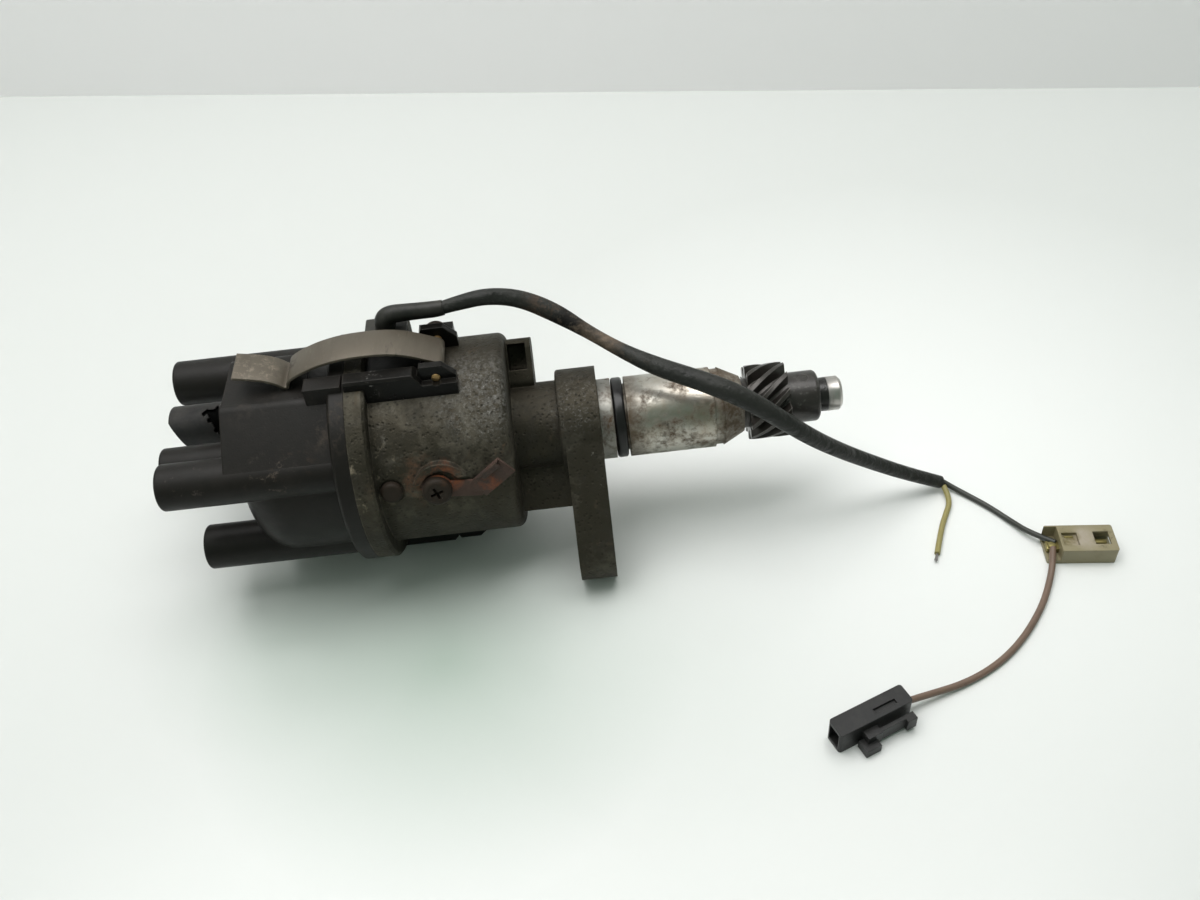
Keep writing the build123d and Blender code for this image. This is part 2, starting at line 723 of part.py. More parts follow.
rotor_angle = 180 - tower_angles[0]
with BuildPart() as rotor_arm:
    ring(rotor_end_x, rotor_seat_x, rotor_r)
    with BuildSketch(Plane.YZ.offset(rotor_end_x)):
        with Locations(Location(polar(rotor_reach / 2 - 4, rotor_angle), rotor_angle)):
            Rectangle(rotor_reach + 8, rotor_arm_width)
        Circle(rotor_reach, mode=Mode.INTERSECT)
    extrude(amount=6.5)
    fillet(rotor_arm.edges().filter_by(Axis.X), 0.8)
    with BuildSketch(Plane.YZ.offset(sleeve_end_x - 0.6)):
        Circle(sleeve_top_r)
        with Locations((flat + 3, 0)):
            Rectangle(6, 20, mode=Mode.SUBTRACT)
    extrude(amount=rotor_seat_x - sleeve_end_x + 0.6, mode=Mode.SUBTRACT)
save(rotor_arm, "rotor_arm")

with BuildPart() as rotor_contact:
    with BuildSketch(Plane.YZ.offset(rotor_end_x - contact_thickness)):
        with Locations(Location(polar(contact_reach / 2 - 2, rotor_angle), rotor_angle)):
            Rectangle(contact_reach + 4, contact_width)
        Circle(contact_reach, mode=Mode.INTERSECT)
    extrude(amount=contact_thickness)
save(rotor_contact, "rotor_contact")

# ---------------------------------------------------------------- pick-up plate, coil and igniter
plate_x = ledge_x - plate_thickness
with BuildPart() as pickup_plate:
    ring(plate_x, ledge_x, bowl_bore_r - 0.1, plate_hole_r)
    for angle in (side_screw_angle, side_screw_angle + 180):
        with BuildSketch(Plane.YZ.offset(side_screw_x - 4.5)) as upright:
            Circle(bowl_bore_r - 0.1)
            Circle(bowl_bore_r - 0.1 - plate_thickness, mode=Mode.SUBTRACT)
            with Locations(Location(around(bowl_bore_r - 1, angle), 180 - angle)):
                Rectangle(7, tab_width, mode=Mode.INTERSECT)
        extrude(amount=plate_x - side_screw_x + 4.5)
        spoke(spoke_plane(side_screw_x, bowl_r, angle), screw_shank_r, -6, mode=Mode.SUBTRACT)
save(pickup_plate, "pickup_plate")

coil_x = plate_x - 5.5
with BuildPart() as pickup_pole:
    pole_tip_r = reluctor_tooth_r + pole_clearance
    spoke(spoke_plane(coil_x, pole_tip_r, pickup_angle), 2.4, pickup_back_r - pole_tip_r)
    with BuildSketch(spoke_plane((coil_x + plate_x - 3.0) / 2, pickup_back_r, pickup_angle)):
        Rectangle(plate_x - coil_x + 3.0, 9.0)
    extrude(amount=1.8)
save(pickup_pole, "pickup_pole")

with BuildPart() as pickup_coil:
    coil_start_r = reluctor_tooth_r + coil_clearance
    coil_length = pickup_back_r - coil_start_r
    inner_end = spoke_plane(coil_x, coil_start_r, pickup_angle)
    spoke(inner_end, 5.5, coil_flange)
    spoke(inner_end, 4.6, coil_length)
    spoke(inner_end.offset(coil_length - coil_flange), 5.5, coil_flange)
    spoke(inner_end, 2.4, coil_length, mode=Mode.SUBTRACT)
save(pickup_coil, "pickup_coil")

igniter_start = 180 - igniter_angle - igniter_sweep / 2
screw_turns = (igniter_start + 10, igniter_start + igniter_sweep - 10)
with BuildPart() as igniter_module:
    with BuildSketch(Plane.YZ.offset(plate_x - igniter_height)):
        with BuildLine():
            CenterArc((0, 0), igniter_outer_r, igniter_start, igniter_sweep)
            CenterArc((0, 0), igniter_inner_r, igniter_start, igniter_sweep)
            for turn in (igniter_start, igniter_start + igniter_sweep):
                Line(polar(igniter_outer_r, turn), polar(igniter_inner_r, turn))
        make_face()
    extrude(amount=igniter_height)
    fillet(igniter_module.edges().filter_by(Axis.X), 2.0)
    for turn in screw_turns:
        ring(plate_x - igniter_height, plate_x, 1.5, centre=polar(23, turn), mode=Mode.SUBTRACT)
save(igniter_module, "igniter_module")

with BuildPart() as igniter_screws:
    for turn in screw_turns:
        ring(plate_x - igniter_height, plate_x, 1.5, centre=polar(23, turn))
        ring(plate_x - igniter_height - 2.0, plate_x - igniter_height, 2.9, centre=polar(23, turn))
save(igniter_screws, "igniter_screws")

# ---------------------------------------------------------------- cap
ceiling_x = dome_end_x + cap_end_wall
cavity_r = dome_r - cap_wall
brush_end_x = rotor_end_x - contact_thickness - 0.1
brush_back_x = brush_end_x - brush_length
terminal_x = -122.0
with BuildPart() as cap:
    turned([
        (seam_x, 0), (seam_x, rim_r), (cap_flange_x + 0.8, rim_r), (cap_flange_x, rim_r - 0.8),
        (cap_flange_x, dome_r), (dome_end_x, dome_r), (dome_end_x, 0),
    ])
    corner = [e for e in cap.edges().filter_by(GeomType.CIRCLE) if abs(e.center().X - dome_end_x) < 0.01]
    fillet(corner, dome_corner_r)
    # saddles that the clips hook over, and the lugs that guide them
    for side in (1, -1):
        block((dome_end_x, saddle_start_x), (-saddle_width / 2, saddle_width / 2),
              (side * (saddle_r - saddle_depth), side * saddle_r))
        guide_height = (side * (rim_r - 9.5), side * (rim_r + 0.1))
        block((guide_start_x, guide_end_x), (-rail_outer, -rail_inner), guide_height)
    saddle_edges = [e for e in cap.edges().filter_by(Axis.X) if abs(abs(e.center().Z) - saddle_r) < 0.05]
    fillet(saddle_edges, saddle_corner_r)
    # towers
    for place, end_x in zip(tower_places, tower_end_xs):
        ring(end_x, cap_flange_x, tower_r, centre=place)
    ring(centre_tower_end_x, dome_end_x + 1, centre_tower_r)
    mouths = [e for e in cap.edges().filter_by(GeomType.CIRCLE) if e.center().X < max(tower_end_xs) + 0.01]
    fillet(mouths, 0.9)
    # hollow, with the brush holder left standing
    turned([
        (seam_x, 0), (seam_x, cavity_r), (dome_end_x + dome_corner_r + 1, cavity_r),
        (ceiling_x, cavity_r - 10),
        (ceiling_x, brush_boss_r), (brush_boss_end_x, brush_boss_r), (brush_boss_end_x, 0),
    ], mode=Mode.SUBTRACT)
    ring(seam_x, seam_x + register_depth - 0.2, register_r - 0.1, register_r - 3.4)
    ring(terminal_x, brush_boss_end_x, brush_r + running, mode=Mode.SUBTRACT)
    ring(centre_tower_end_x, centre_tower_end_x + socket_depth, socket_r, mode=Mode.SUBTRACT)
    ring(centre_tower_end_x + socket_depth, terminal_x, 3.2, mode=Mode.SUBTRACT)
    for place, end_x in zip(tower_places, tower_end_xs):
        ring(end_x, end_x + socket_depth, socket_r, centre=place, mode=Mode.SUBTRACT)
        ring(end_x + socket_depth, electrode_end_x, electrode_r, centre=place, mode=Mode.SUBTRACT)
save(cap, "cap")

with BuildPart() as side_terminals:
    for place, end_x in zip(tower_places, tower_end_xs):
        ring(end_x + socket_depth, electrode_end_x, electrode_r, centre=place)
save(side_terminals, "side_terminals")

with BuildPart() as centre_terminal:
    ring(centre_tower_end_x + socket_depth, terminal_x, 3.2)
save(centre_terminal, "centre_terminal")

with BuildPart() as carbon_brush:
    ring(brush_back_x, brush_end_x, brush_r)
    chamfer(carbon_brush.edges().filter_by(GeomType.CIRCLE), 0.3)
save(carbon_brush, "carbon_brush")

brush_spring = coil_spring((terminal_x + 0.4, 0, 0), (brush_back_x - 0.4, 0, 0), 2.1, 0.3, 5)
save(brush_spring, "brush_spring")

boot_place = tower_places[boot_tower]
boot_tower_end_x = tower_end_xs[boot_tower]
with BuildPart() as boot_stub:
    ring(boot_end_x, boot_tower_end_x + boot_lap, boot_r, centre=boot_place)
    ring(boot_end_x, boot_tower_end_x, boot_bore_r, centre=boot_place, mode=Mode.SUBTRACT)
    ring(boot_tower_end_x, boot_tower_end_x + boot_lap, tower_r, centre=boot_place, mode=Mode.SUBTRACT)
save(boot_stub, "lead_boot_stub")

# ---------------------------------------------------------------- lead outlet
with BuildPart() as lead_elbow:
    with Locations((outlet_x, outlet_y, outlet_top + 0.75)):
        Box(14.4, 10.4, 1.5)
    with Locations((outlet_x, outlet_y, outlet_top - 4.5)):
        Cylinder(outlet_hole_r, 9)
    with BuildLine() as elbow_line:
        FilletPolyline(
            (outlet_x, outlet_y, outlet_top + 1.4), (outlet_x, outlet_y, elbow_height),
            (elbow_end_x, outlet_y + 0.6, elbow_height - 0.3), radius=4.0)
    with BuildSketch(Plane(origin=elbow_line.line @ 0, z_dir=(0, 0, 1))):
        Circle(elbow_r)
    sweep()
save(lead_elbow, "lead_elbow")


# ---------------------------------------------------------------- free leads
def free_lead(route, radius, name):
    """Round lead along straight runs joined by tangent arcs as large as the runs allow."""
    corners = [Vector(*point) for point in route]
    radii = []
    for before, here, after in zip(corners, corners[1:], corners[2:]):
        turn = (here - before).get_angle(after - here)
        radii.append(0.45 * min((here - before).length, (after - here).length) / tan(radians(turn / 2)))
    with BuildPart() as lead:
        with BuildLine() as path:
            FilletPolyline(*corners, radius=radii)
        with BuildSketch(Plane(origin=path.line @ 0, z_dir=path.line % 0)):
            Circle(radius)
        sweep()
    length = sum(edge.length for edge in path.edges())
    share = lead.part.volume / (pi * radius**2 * length)
    print(name, "length", round(length, 1), "radii", [round(r) for r in radii], "volume share", round(share, 4))
    save(lead, name)


wire_z = floor_z + wire_r
brown_z = floor_z + brown_r
sleeve_route = [
    (-48.9, 14.0, elbow_height - 0.2), (-41.3, 15.1, elbow_height + 0.7),
    (-32.5, 17.1, elbow_height + 0.5), (-22.0, 18.0, 42.6), (-11.0, 15.5, 36.9),
    (-0.7, 11.0, 30.6), (10.0, 4.5, 26.0), (20.5, -3.5, 24.5), (31.0, -10.5, 24.2), (41.0, -16.0, 22.6),
    (50.3, -19.3, 18.0), (60.0, -21.0, 10.0), (70.5, -20.0, -0.8), (82.2, -17.0, -12.2), (95.4, -13.5, -23.7),
    (109.4, -11.0, -34.3), (122.5, -9.8, floor_z + sleeve_r + 0.6),
]
free_lead(sleeve_route, sleeve_r, "lead_sleeve")
black_route = [
    (122.9, -8.6, floor_z + 3.1), (127.2, -11.8, floor_z + 1.5), (131.8, -16.3, wire_z), (137.0, -22.3, wire_z),
    (142.2, -29.8, wire_z), (146.4, -37.8, wire_z + 1.6), (152.8, -44.2, floor_z + 3.9),
]
free_lead(black_route, wire_r, "wire_black")
yellow_route = [
    (123.5, -11.5, floor_z + 2.8), (124.7, -17.2, floor_z + 1.3), (120.6, -24.2, wire_z), (117.2, -30.4, wire_z),
    (112.7, -41.0, wire_z),
]
free_lead(yellow_route, wire_r, "wire_yellow")
brown_route = [
    (151.2, -46.1, floor_z + 3.6), (149.3, -51.9, floor_z + 2.9), (146.2, -58.2, brown_z + 0.2),
    (141.6, -65.8, brown_z), (135.9, -73.0, brown_z), (129.4, -79.8, brown_z), (121.8, -86.0, brown_z),
    (113.3, -90.9, brown_z), (104.4, -94.4, brown_z + 0.3), (95.2, -97.0, brown_z + 1.7),
    (83.4, -100.5, floor_z + 4.9),
]
free_lead(brown_route, brown_r, "wire_brown")

# two-way nylon plug, its wire end open at the top and along one side
white_place = Location((*white_plug_xy, floor_z), (0, 0, white_plug_turn))
with BuildPart() as white_plug:
    with Locations(white_place):
        with Locations((0, 0, white_height / 2)):
            Box(white_length, white_width, white_height)
    fillet(white_plug.edges().filter_by(Axis.Z), 0.8)
    with Locations(white_place):
        with Locations((white_length / 2 - 4.5, 0, white_height / 2)):
            Box(9.0, white_width - 2.2, white_height - 2.0, mode=Mode.SUBTRACT)
        with Locations((-3.6, -0.4, white_height), (7.0, 0, white_height)):
            Box(5.2, 5.6, 2.4, mode=Mode.SUBTRACT)
        with Locations((-white_length / 2 + 2.2, -0.6, white_height / 2 + 1.5)):
            Box(4.4, white_width + 0.2, white_height, mode=Mode.SUBTRACT)
save(white_plug, "white_plug")

# one-way black plug with its latch lever along one side
black_place = Location((*black_plug_xy, floor_z), (0, 0, black_plug_turn))
latch_y = -black_width / 2 - latch_gap - latch_thickness / 2
with BuildPart() as black_plug:
    with Locations(black_place):
        with Locations((0, 0, black_height / 2)):
            Box(black_length, black_width, black_height)
    fillet(black_plug.edges().filter_by(Axis.Z), 1.0)
    with Locations(black_place):
        # lever, its root, its thumb end and its catch
        with Locations((3.0, latch_y, 3.7)):
            Box(16.0, latch_thickness, 5.0)
        with Locations((-2.5, -black_width / 2 - 1.4, 3.7)):
            Box(5.0, 3.4, 5.0)
        with Locations((-4.2, -black_width / 2 - 3.0, 1.6)):
            Box(5.4, 4.6, 3.2)
        with Locations((10.6, latch_y - 0.6, 3.7)):
            Box(3.4, 2.6, 5.0)
        # mouth, lance slot and wire entry
        with Locations((-black_length / 2 + 5.5, 0, black_height / 2)):
            Box(11.0, black_width - 2.2, black_height - 2.4, mode=Mode.SUBTRACT)
        with Locations((4.5, -0.8, black_height)):
            Box(8.0, 1.6, 2.0, mode=Mode.SUBTRACT)
        with Locations(Location((black_length / 2 - 1.5, 0, 4.9), (0, 90, 0))):
            Cylinder(brown_r + 0.8, 3.0, mode=Mode.SUBTRACT)
save(black_plug, "black_plug")
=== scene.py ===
from math import cos, pi, radians, sin

import bpy
from mathutils import Matrix, Vector


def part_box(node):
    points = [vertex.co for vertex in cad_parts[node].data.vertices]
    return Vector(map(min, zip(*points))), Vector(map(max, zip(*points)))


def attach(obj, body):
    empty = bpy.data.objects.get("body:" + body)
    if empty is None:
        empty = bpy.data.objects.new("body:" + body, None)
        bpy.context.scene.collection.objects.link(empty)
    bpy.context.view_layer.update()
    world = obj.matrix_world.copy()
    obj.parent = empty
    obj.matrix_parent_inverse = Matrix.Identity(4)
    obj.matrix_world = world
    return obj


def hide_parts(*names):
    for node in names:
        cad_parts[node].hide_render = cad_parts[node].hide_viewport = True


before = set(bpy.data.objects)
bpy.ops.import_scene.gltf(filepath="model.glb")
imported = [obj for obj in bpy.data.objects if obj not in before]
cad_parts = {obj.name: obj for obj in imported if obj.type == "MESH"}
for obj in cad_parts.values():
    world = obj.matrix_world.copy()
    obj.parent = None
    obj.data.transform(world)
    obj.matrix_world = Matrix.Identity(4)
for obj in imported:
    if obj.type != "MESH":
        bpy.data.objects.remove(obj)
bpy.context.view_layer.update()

MM = 0.001
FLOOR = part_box("clip_lower")[0].z       # the lower clip rests on the bench
floor = FLOOR / MM


# ---------------------------------------------------------------- bench work
def drop_selection():
    """Deselect everything, the CAD nodes included."""
    bpy.ops.object.select_all(action="DESELECT")


def pick(piece):
    drop_selection()
    piece.select_set(True)
    bpy.context.view_layer.objects.active = piece


def mm(point):
    return Vector(point) * MM


def settle(piece, name=None):
    """Put a piece's place into its mesh."""
    pick(piece)
    bpy.ops.object.transform_apply(location=True, rotation=True, scale=True)
    if name:
        piece.name = name
        piece.data.name = name
    return piece


def brick(centre, size, turn=0.0, tilt=0.0):
    """Block, sizes in mm, tilted about X and then turned about Z."""
    drop_selection()
    bpy.ops.mesh.primitive_cube_add(size=1, location=mm(centre), rotation=(radians(tilt), 0, radians(turn)))
    piece = bpy.context.object
    piece.scale = mm(size)
    return settle(piece)


def rod(start, end, radius, sides=48, top_radius=None):
    """Round bar between two points, mm."""
    start, end = mm(start), mm(end)
    drop_selection()
    bpy.ops.mesh.primitive_cone_add(
        vertices=sides, radius1=radius * MM, radius2=(top_radius if top_radius is not None else radius) * MM,
        depth=(end - start).length, location=(start + end) / 2,
        rotation=(end - start).to_track_quat("Z", "Y").to_euler())
    return settle(bpy.context.object)


def carve(piece, *cutters, mode="DIFFERENCE"):
    """Cut a piece with others, which are used up."""
    for cutter in cutters:
        pick(piece)
        cut = piece.modifiers.new("cut", "BOOLEAN")
        cut.operation = mode
        cut.solver = "EXACT"
        cut.object = cutter
        bpy.ops.object.modifier_apply(modifier=cut.name)
        bpy.data.objects.remove(cutter, do_unlink=True)
    return piece


def soften(piece, width, segments=3, angle=32):
    """Round the edges that are sharper than an angle, width in mm."""
    pick(piece)
    round_over = piece.modifiers.new("round", "BEVEL")
    round_over.width = width * MM
    round_over.segments = segments
    round_over.limit_method = "ANGLE"
    round_over.angle_limit = radians(angle)
    round_over.harden_normals = False
    bpy.ops.object.modifier_apply(modifier=round_over.name)
    return piece


def smooth(piece, angle=40):
    pick(piece)
    bpy.ops.object.shade_smooth_by_angle(angle=radians(angle))
    return piece


def join(name, *pieces):
    """Make one object of several pieces."""
    drop_selection()
    for piece in pieces:
        piece.select_set(True)
    bpy.context.view_layer.objects.active = pieces[0]
    if len(pieces) > 1:
        bpy.ops.object.join()
    whole = bpy.context.object
    whole.name = name
    whole.data.name = name
    return whole


def moved(piece, origin, x_axis, y_axis, z_axis):
    """Carry a piece from its own axes to a place on the object, origin in mm."""
    frame_there = Matrix((x_axis, y_axis, z_axis)).transposed().to_4x4()
    frame_there.translation = mm(origin)
    piece.matrix_world = frame_there
    return settle(piece)


def fit(piece, name, material, body="housing", replaces=()):
    """Name a finished piece, give it its finish and mount it on its body."""
    piece.name = name
    piece.data.name = name
    piece.data.materials.clear()
    piece.data.materials.append(material)
    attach(piece, body)
    if replaces:
        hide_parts(*replaces)
    return piece


# ---------------------------------------------------------------- shader groups
def new_group(name, inputs, outputs):
    group = bpy.data.node_groups.new(name, "ShaderNodeTree")
    for label, kind, value in inputs:
        socket = group.interface.new_socket(label, in_out="INPUT", socket_type=kind)
        if value is not None:
            socket.default_value = value
    for label, kind in outputs:
        group.interface.new_socket(label, in_out="OUTPUT", socket_type=kind)
    return group, group.nodes.new("NodeGroupInput"), group.nodes.new("NodeGroupOutput")


def maths(tree, operation, a, b=None, clamp=False):
    """A Math node on two sockets or numbers; returns its output."""
    made = tree.nodes.new("ShaderNodeMath")
    made.operation = operation
    made.use_clamp = clamp
    for index, value in enumerate((a, b)):
        if value is None:
            continue
        if isinstance(value, (int, float)):
            made.inputs[index].default_value = value
        else:
            tree.links.new(value, made.inputs[index])
    return made.outputs[0]


def noise(tree, vector, scale, detail=5.0, rough=0.6, distortion=0.0):
    made = tree.nodes.new("ShaderNodeTexNoise")
    made.inputs["Detail"].default_value = detail
    made.inputs["Roughness"].default_value = rough
    made.inputs["Distortion"].default_value = distortion
    tree.links.new(vector, made.inputs["Vector"])
    if isinstance(scale, (int, float)):
        made.inputs["Scale"].default_value = scale
    else:
        tree.links.new(scale, made.inputs["Scale"])
    return made.outputs[0]


VEC, NUM = "NodeSocketVector", "NodeSocketFloat"

# soft-edged patches: grime, stains, worn-off plating
patches, way_in, way_out = new_group(
    "patches", [("Vector", VEC, None), ("Scale", NUM, 60.0), ("Amount", NUM, 0.5), ("Softness", NUM, 0.2)],
    [("Mask", NUM)])
broad = noise(patches, way_in.outputs["Vector"], way_in.outputs["Scale"], 7, 0.66, 0.4)
fine = noise(patches, way_in.outputs["Vector"], maths(patches, "MULTIPLY", way_in.outputs["Scale"], 5.3), 4, 0.7)
blend = maths(patches, "ADD", maths(patches, "MULTIPLY", broad, 0.72), maths(patches, "MULTIPLY", fine, 0.28))
edge_level = maths(patches, "SUBTRACT", 0.78, maths(patches, "MULTIPLY", way_in.outputs["Amount"], 0.56))
over = maths(patches, "SUBTRACT", blend, edge_level)
patches.links.new(maths(patches, "DIVIDE", over, way_in.outputs["Softness"], clamp=True), way_out.inputs["Mask"])

# rubbed edges, found from the rounding that the edge would have
edges, way_in, way_out = new_group(
    "rubbed edges", [("Vector", VEC, None), ("Radius", NUM, 0.0006), ("Amount", NUM, 1.0)],
    [("Mask", NUM), ("Normal", VEC)])
rounding = edges.nodes.new("ShaderNodeBevel")
rounding.samples = 6
edges.links.new(way_in.outputs["Radius"], rounding.inputs["Radius"])
flat = edges.nodes.new("ShaderNodeNewGeometry")
aligned = edges.nodes.new("ShaderNodeVectorMath")
aligned.operation = "DOT_PRODUCT"
edges.links.new(rounding.outputs[0], aligned.inputs[0])
edges.links.new(flat.outputs["Normal"], aligned.inputs[1])
bend = maths(edges, "MULTIPLY", maths(edges, "SUBTRACT", 1.0, aligned.outputs["Value"]), 7.0, clamp=True)
chips = noise(edges, way_in.outputs["Vector"], 260.0, 5, 0.7)
broken = maths(edges, "MULTIPLY", maths(edges, "SUBTRACT", chips, 0.36), 3.4, clamp=True)
edges.links.new(
    maths(edges, "MULTIPLY", maths(edges, "MULTIPLY", bend, broken), way_in.outputs["Amount"], clamp=True),
    way_out.inputs["Mask"])
edges.links.new(rounding.outputs[0], way_out.inputs["Normal"])

# fine relief: cast skin, moulded texture, scratches
relief, way_in, way_out = new_group(
    "relief", [("Vector", VEC, None), ("Scale", NUM, 900.0), ("Pitting", NUM, 0.5)], [("Height", NUM), ("Pits", NUM)])
grain = noise(relief, way_in.outputs["Vector"], way_in.outputs["Scale"], 4, 0.6)
lumps = noise(relief, way_in.outputs["Vector"], maths(relief, "MULTIPLY", way_in.outputs["Scale"], 0.16), 3, 0.5)
cells = relief.nodes.new("ShaderNodeTexVoronoi")
relief.links.new(way_in.outputs["Vector"], cells.inputs["Vector"])
relief.links.new(maths(relief, "MULTIPLY", way_in.outputs["Scale"], 0.45), cells.inputs["Scale"])
pits = maths(relief, "MULTIPLY", maths(relief, "SUBTRACT", 0.34, cells.outputs["Distance"]), 3.0, clamp=True)
height = maths(relief, "ADD", maths(relief, "MULTIPLY", grain, 0.5), maths(relief, "MULTIPLY", lumps, 0.8))
relief.links.new(
    maths(relief, "SUBTRACT", height, maths(relief, "MULTIPLY", pits, way_in.outputs["Pitting"])),
    way_out.inputs["Height"])
relief.links.new(pits, way_out.inputs["Pits"])

# dust that settles on what faces up
dust, way_in, way_out = new_group(
    "settled dust", [("Vector", VEC, None), ("Amount", NUM, 0.5), ("Scale", NUM, 90.0)], [("Mask", NUM)])
facing = dust.nodes.new("ShaderNodeNewGeometry")
split = dust.nodes.new("ShaderNodeSeparateXYZ")
dust.links.new(facing.outputs["Normal"], split.inputs[0])
upward = maths(dust, "MULTIPLY", maths(dust, "ADD", split.outputs["Z"], 0.25), 0.8, clamp=True)
drifts = noise(dust, way_in.outputs["Vector"], way_in.outputs["Scale"], 8, 0.72)
uneven = maths(dust, "MULTIPLY", maths(dust, "SUBTRACT", drifts, 0.42), 3.5, clamp=True)
dust.links.new(
    maths(dust, "MULTIPLY", maths(dust, "MULTIPLY", upward, uneven), way_in.outputs["Amount"], clamp=True),
    way_out.inputs["Mask"])


MIX_BASE, MIX_OVER, MIX_RESULT = 6, 7, 2        # a Mix node's colour sockets


def use(tree, group, vector, **values):
    """Put a shared group into a material."""
    made = tree.nodes.new("ShaderNodeGroup")
    made.node_tree = group
    tree.links.new(vector, made.inputs["Vector"])
    for key, value in values.items():
        made.inputs[key].default_value = value
    return made


def tint(tree, base, over, mask):
    """Lay one colour over another; base may be a colour or a socket."""
    mix = tree.nodes.new("ShaderNodeMix")
    mix.data_type = "RGBA"
    for index, value in ((MIX_BASE, base), (MIX_OVER, over)):
        if isinstance(value, tuple):
            mix.inputs[index].default_value = (*value, 1.0)
        else:
            tree.links.new(value, mix.inputs[index])
    tree.links.new(mask, mix.inputs[0])
    return mix.outputs[MIX_RESULT]


def closeness(tree, place, centre, radius):
    """1 at a place, falling to 0 at a radius from it, both in metres."""
    reach = tree.nodes.new("ShaderNodeVectorMath")
    reach.operation = "DISTANCE"
    reach.inputs[1].default_value = centre
    tree.links.new(place, reach.inputs[0])
    return maths(tree, "SUBTRACT", 1.0, maths(tree, "DIVIDE", reach.outputs["Value"], radius), clamp=True)


DULL_FROM = 0.45        # a layer rougher than this hides the metal under it
ZONE_RISE = 2.2         # how quickly a zone comes in from its rim
COAT_ROUGH = 0.25


def finish(name, colour, layers=(), rough=0.6, rough_span=0.2, metal=0.0, worn=None, wear=0.6, edge=0.5,
           grain=900.0, depth=0.00004, pitting=0.4, dusty=None, dust_amount=0.5, bare_rough=None,
           stretch=(1, 1, 1), specular=0.5, coat=0.0, bare_metal=None, pits=None, zones=()):
    """A worn surface: base colour, patches of other colours, marks in single places, rubbed edges and dust.

    A layer is (colour, scale, amount, softness, roughness), and a zone (colour, centre in mm, radius in mm,
    scale, amount, softness).
    """
    material = bpy.data.materials.new(name)
    material.use_nodes = True
    tree = material.node_tree
    shader = tree.nodes["Principled BSDF"]
    shader.inputs["Specular IOR Level"].default_value = specular
    shader.inputs["Coat Weight"].default_value = coat
    shader.inputs["Coat Roughness"].default_value = COAT_ROUGH
    place = tree.nodes.new("ShaderNodeTexCoord").outputs["Object"]
    turn = tree.nodes.new("ShaderNodeMapping")
    turn.inputs["Scale"].default_value = stretch
    tree.links.new(place, turn.inputs["Vector"])
    spot = turn.outputs["Vector"]
    shade = colour
    rough_spread = maths(tree, "MULTIPLY", noise(tree, spot, 140.0, 5, 0.65), rough_span * 2)
    rough_now = maths(tree, "ADD", rough_spread, rough - rough_span)
    metal_now = None
    for over_colour, scale, amount, softness, over_rough in layers:
        mask = use(tree, patches, spot, Scale=scale, Amount=amount, Softness=softness).outputs["Mask"]
        shade = tint(tree, shade, over_colour, mask)
        if over_rough is not None:
            lift = maths(tree, "MULTIPLY", mask, over_rough - rough)
            rough_now = maths(tree, "ADD", rough_now, lift, clamp=True)
            if metal and over_rough > DULL_FROM:
                keep = maths(tree, "SUBTRACT", 1.0, maths(tree, "MULTIPLY", mask, 0.85))
                metal_now = keep if metal_now is None else maths(tree, "MULTIPLY", metal_now, keep)
    for over_colour, centre, radius, scale, amount, softness in zones:
        near = maths(tree, "MULTIPLY", closeness(tree, place, mm(centre), radius * MM), ZONE_RISE, clamp=True)
        mask = use(tree, patches, place, Scale=scale, Amount=amount, Softness=softness).outputs["Mask"]
        mask = maths(tree, "MULTIPLY", mask, near)
        shade = tint(tree, shade, over_colour, mask)
        rough_now = maths(tree, "ADD", rough_now, maths(tree, "MULTIPLY", mask, 0.2), clamp=True)
        if metal:
            keep = maths(tree, "SUBTRACT", 1.0, mask)
            metal_now = keep if metal_now is None else maths(tree, "MULTIPLY", metal_now, keep)
    relief_node = use(tree, relief, spot, Scale=grain, Pitting=pitting)
    if pits:
        shade = tint(tree, shade, pits, relief_node.outputs["Pits"])
    rub = use(tree, edges, place, Radius=edge * MM, Amount=wear if worn else 0.0)
    if worn:
        shade = tint(tree, shade, worn, rub.outputs["Mask"])
        if bare_metal is not None:
            lifted = maths(tree, "MULTIPLY", rub.outputs["Mask"], bare_metal)
            metal_now = lifted if metal_now is None and not metal else maths(
                tree, "ADD", metal_now if metal_now is not None else metal, lifted, clamp=True)
    if dusty:
        mask = use(tree, dust, place, Amount=dust_amount).outputs["Mask"]
        shade = tint(tree, shade, dusty, mask)
        rough_now = maths(tree, "ADD", rough_now, maths(tree, "MULTIPLY", mask, 0.3), clamp=True)
    if isinstance(shade, tuple):
        shader.inputs["Base Color"].default_value = (*shade, 1.0)
    else:
        tree.links.new(shade, shader.inputs["Base Color"])
    tree.links.new(rough_now, shader.inputs["Roughness"])
    if metal_now is None:
        shader.inputs["Metallic"].default_value = metal
    else:
        if metal and bare_metal is None:
            metal_now = maths(tree, "MULTIPLY", metal_now, metal)
        tree.links.new(metal_now, shader.inputs["Metallic"])
    bump = tree.nodes.new("ShaderNodeBump")
    bump.inputs["Distance"].default_value = depth
    tree.links.new(relief_node.outputs["Height"], bump.inputs["Height"])
    tree.links.new(rub.outputs["Normal"], bump.inputs["Normal"])
    tree.links.new(bump.outputs["Normal"], shader.inputs["Normal"])
    return material


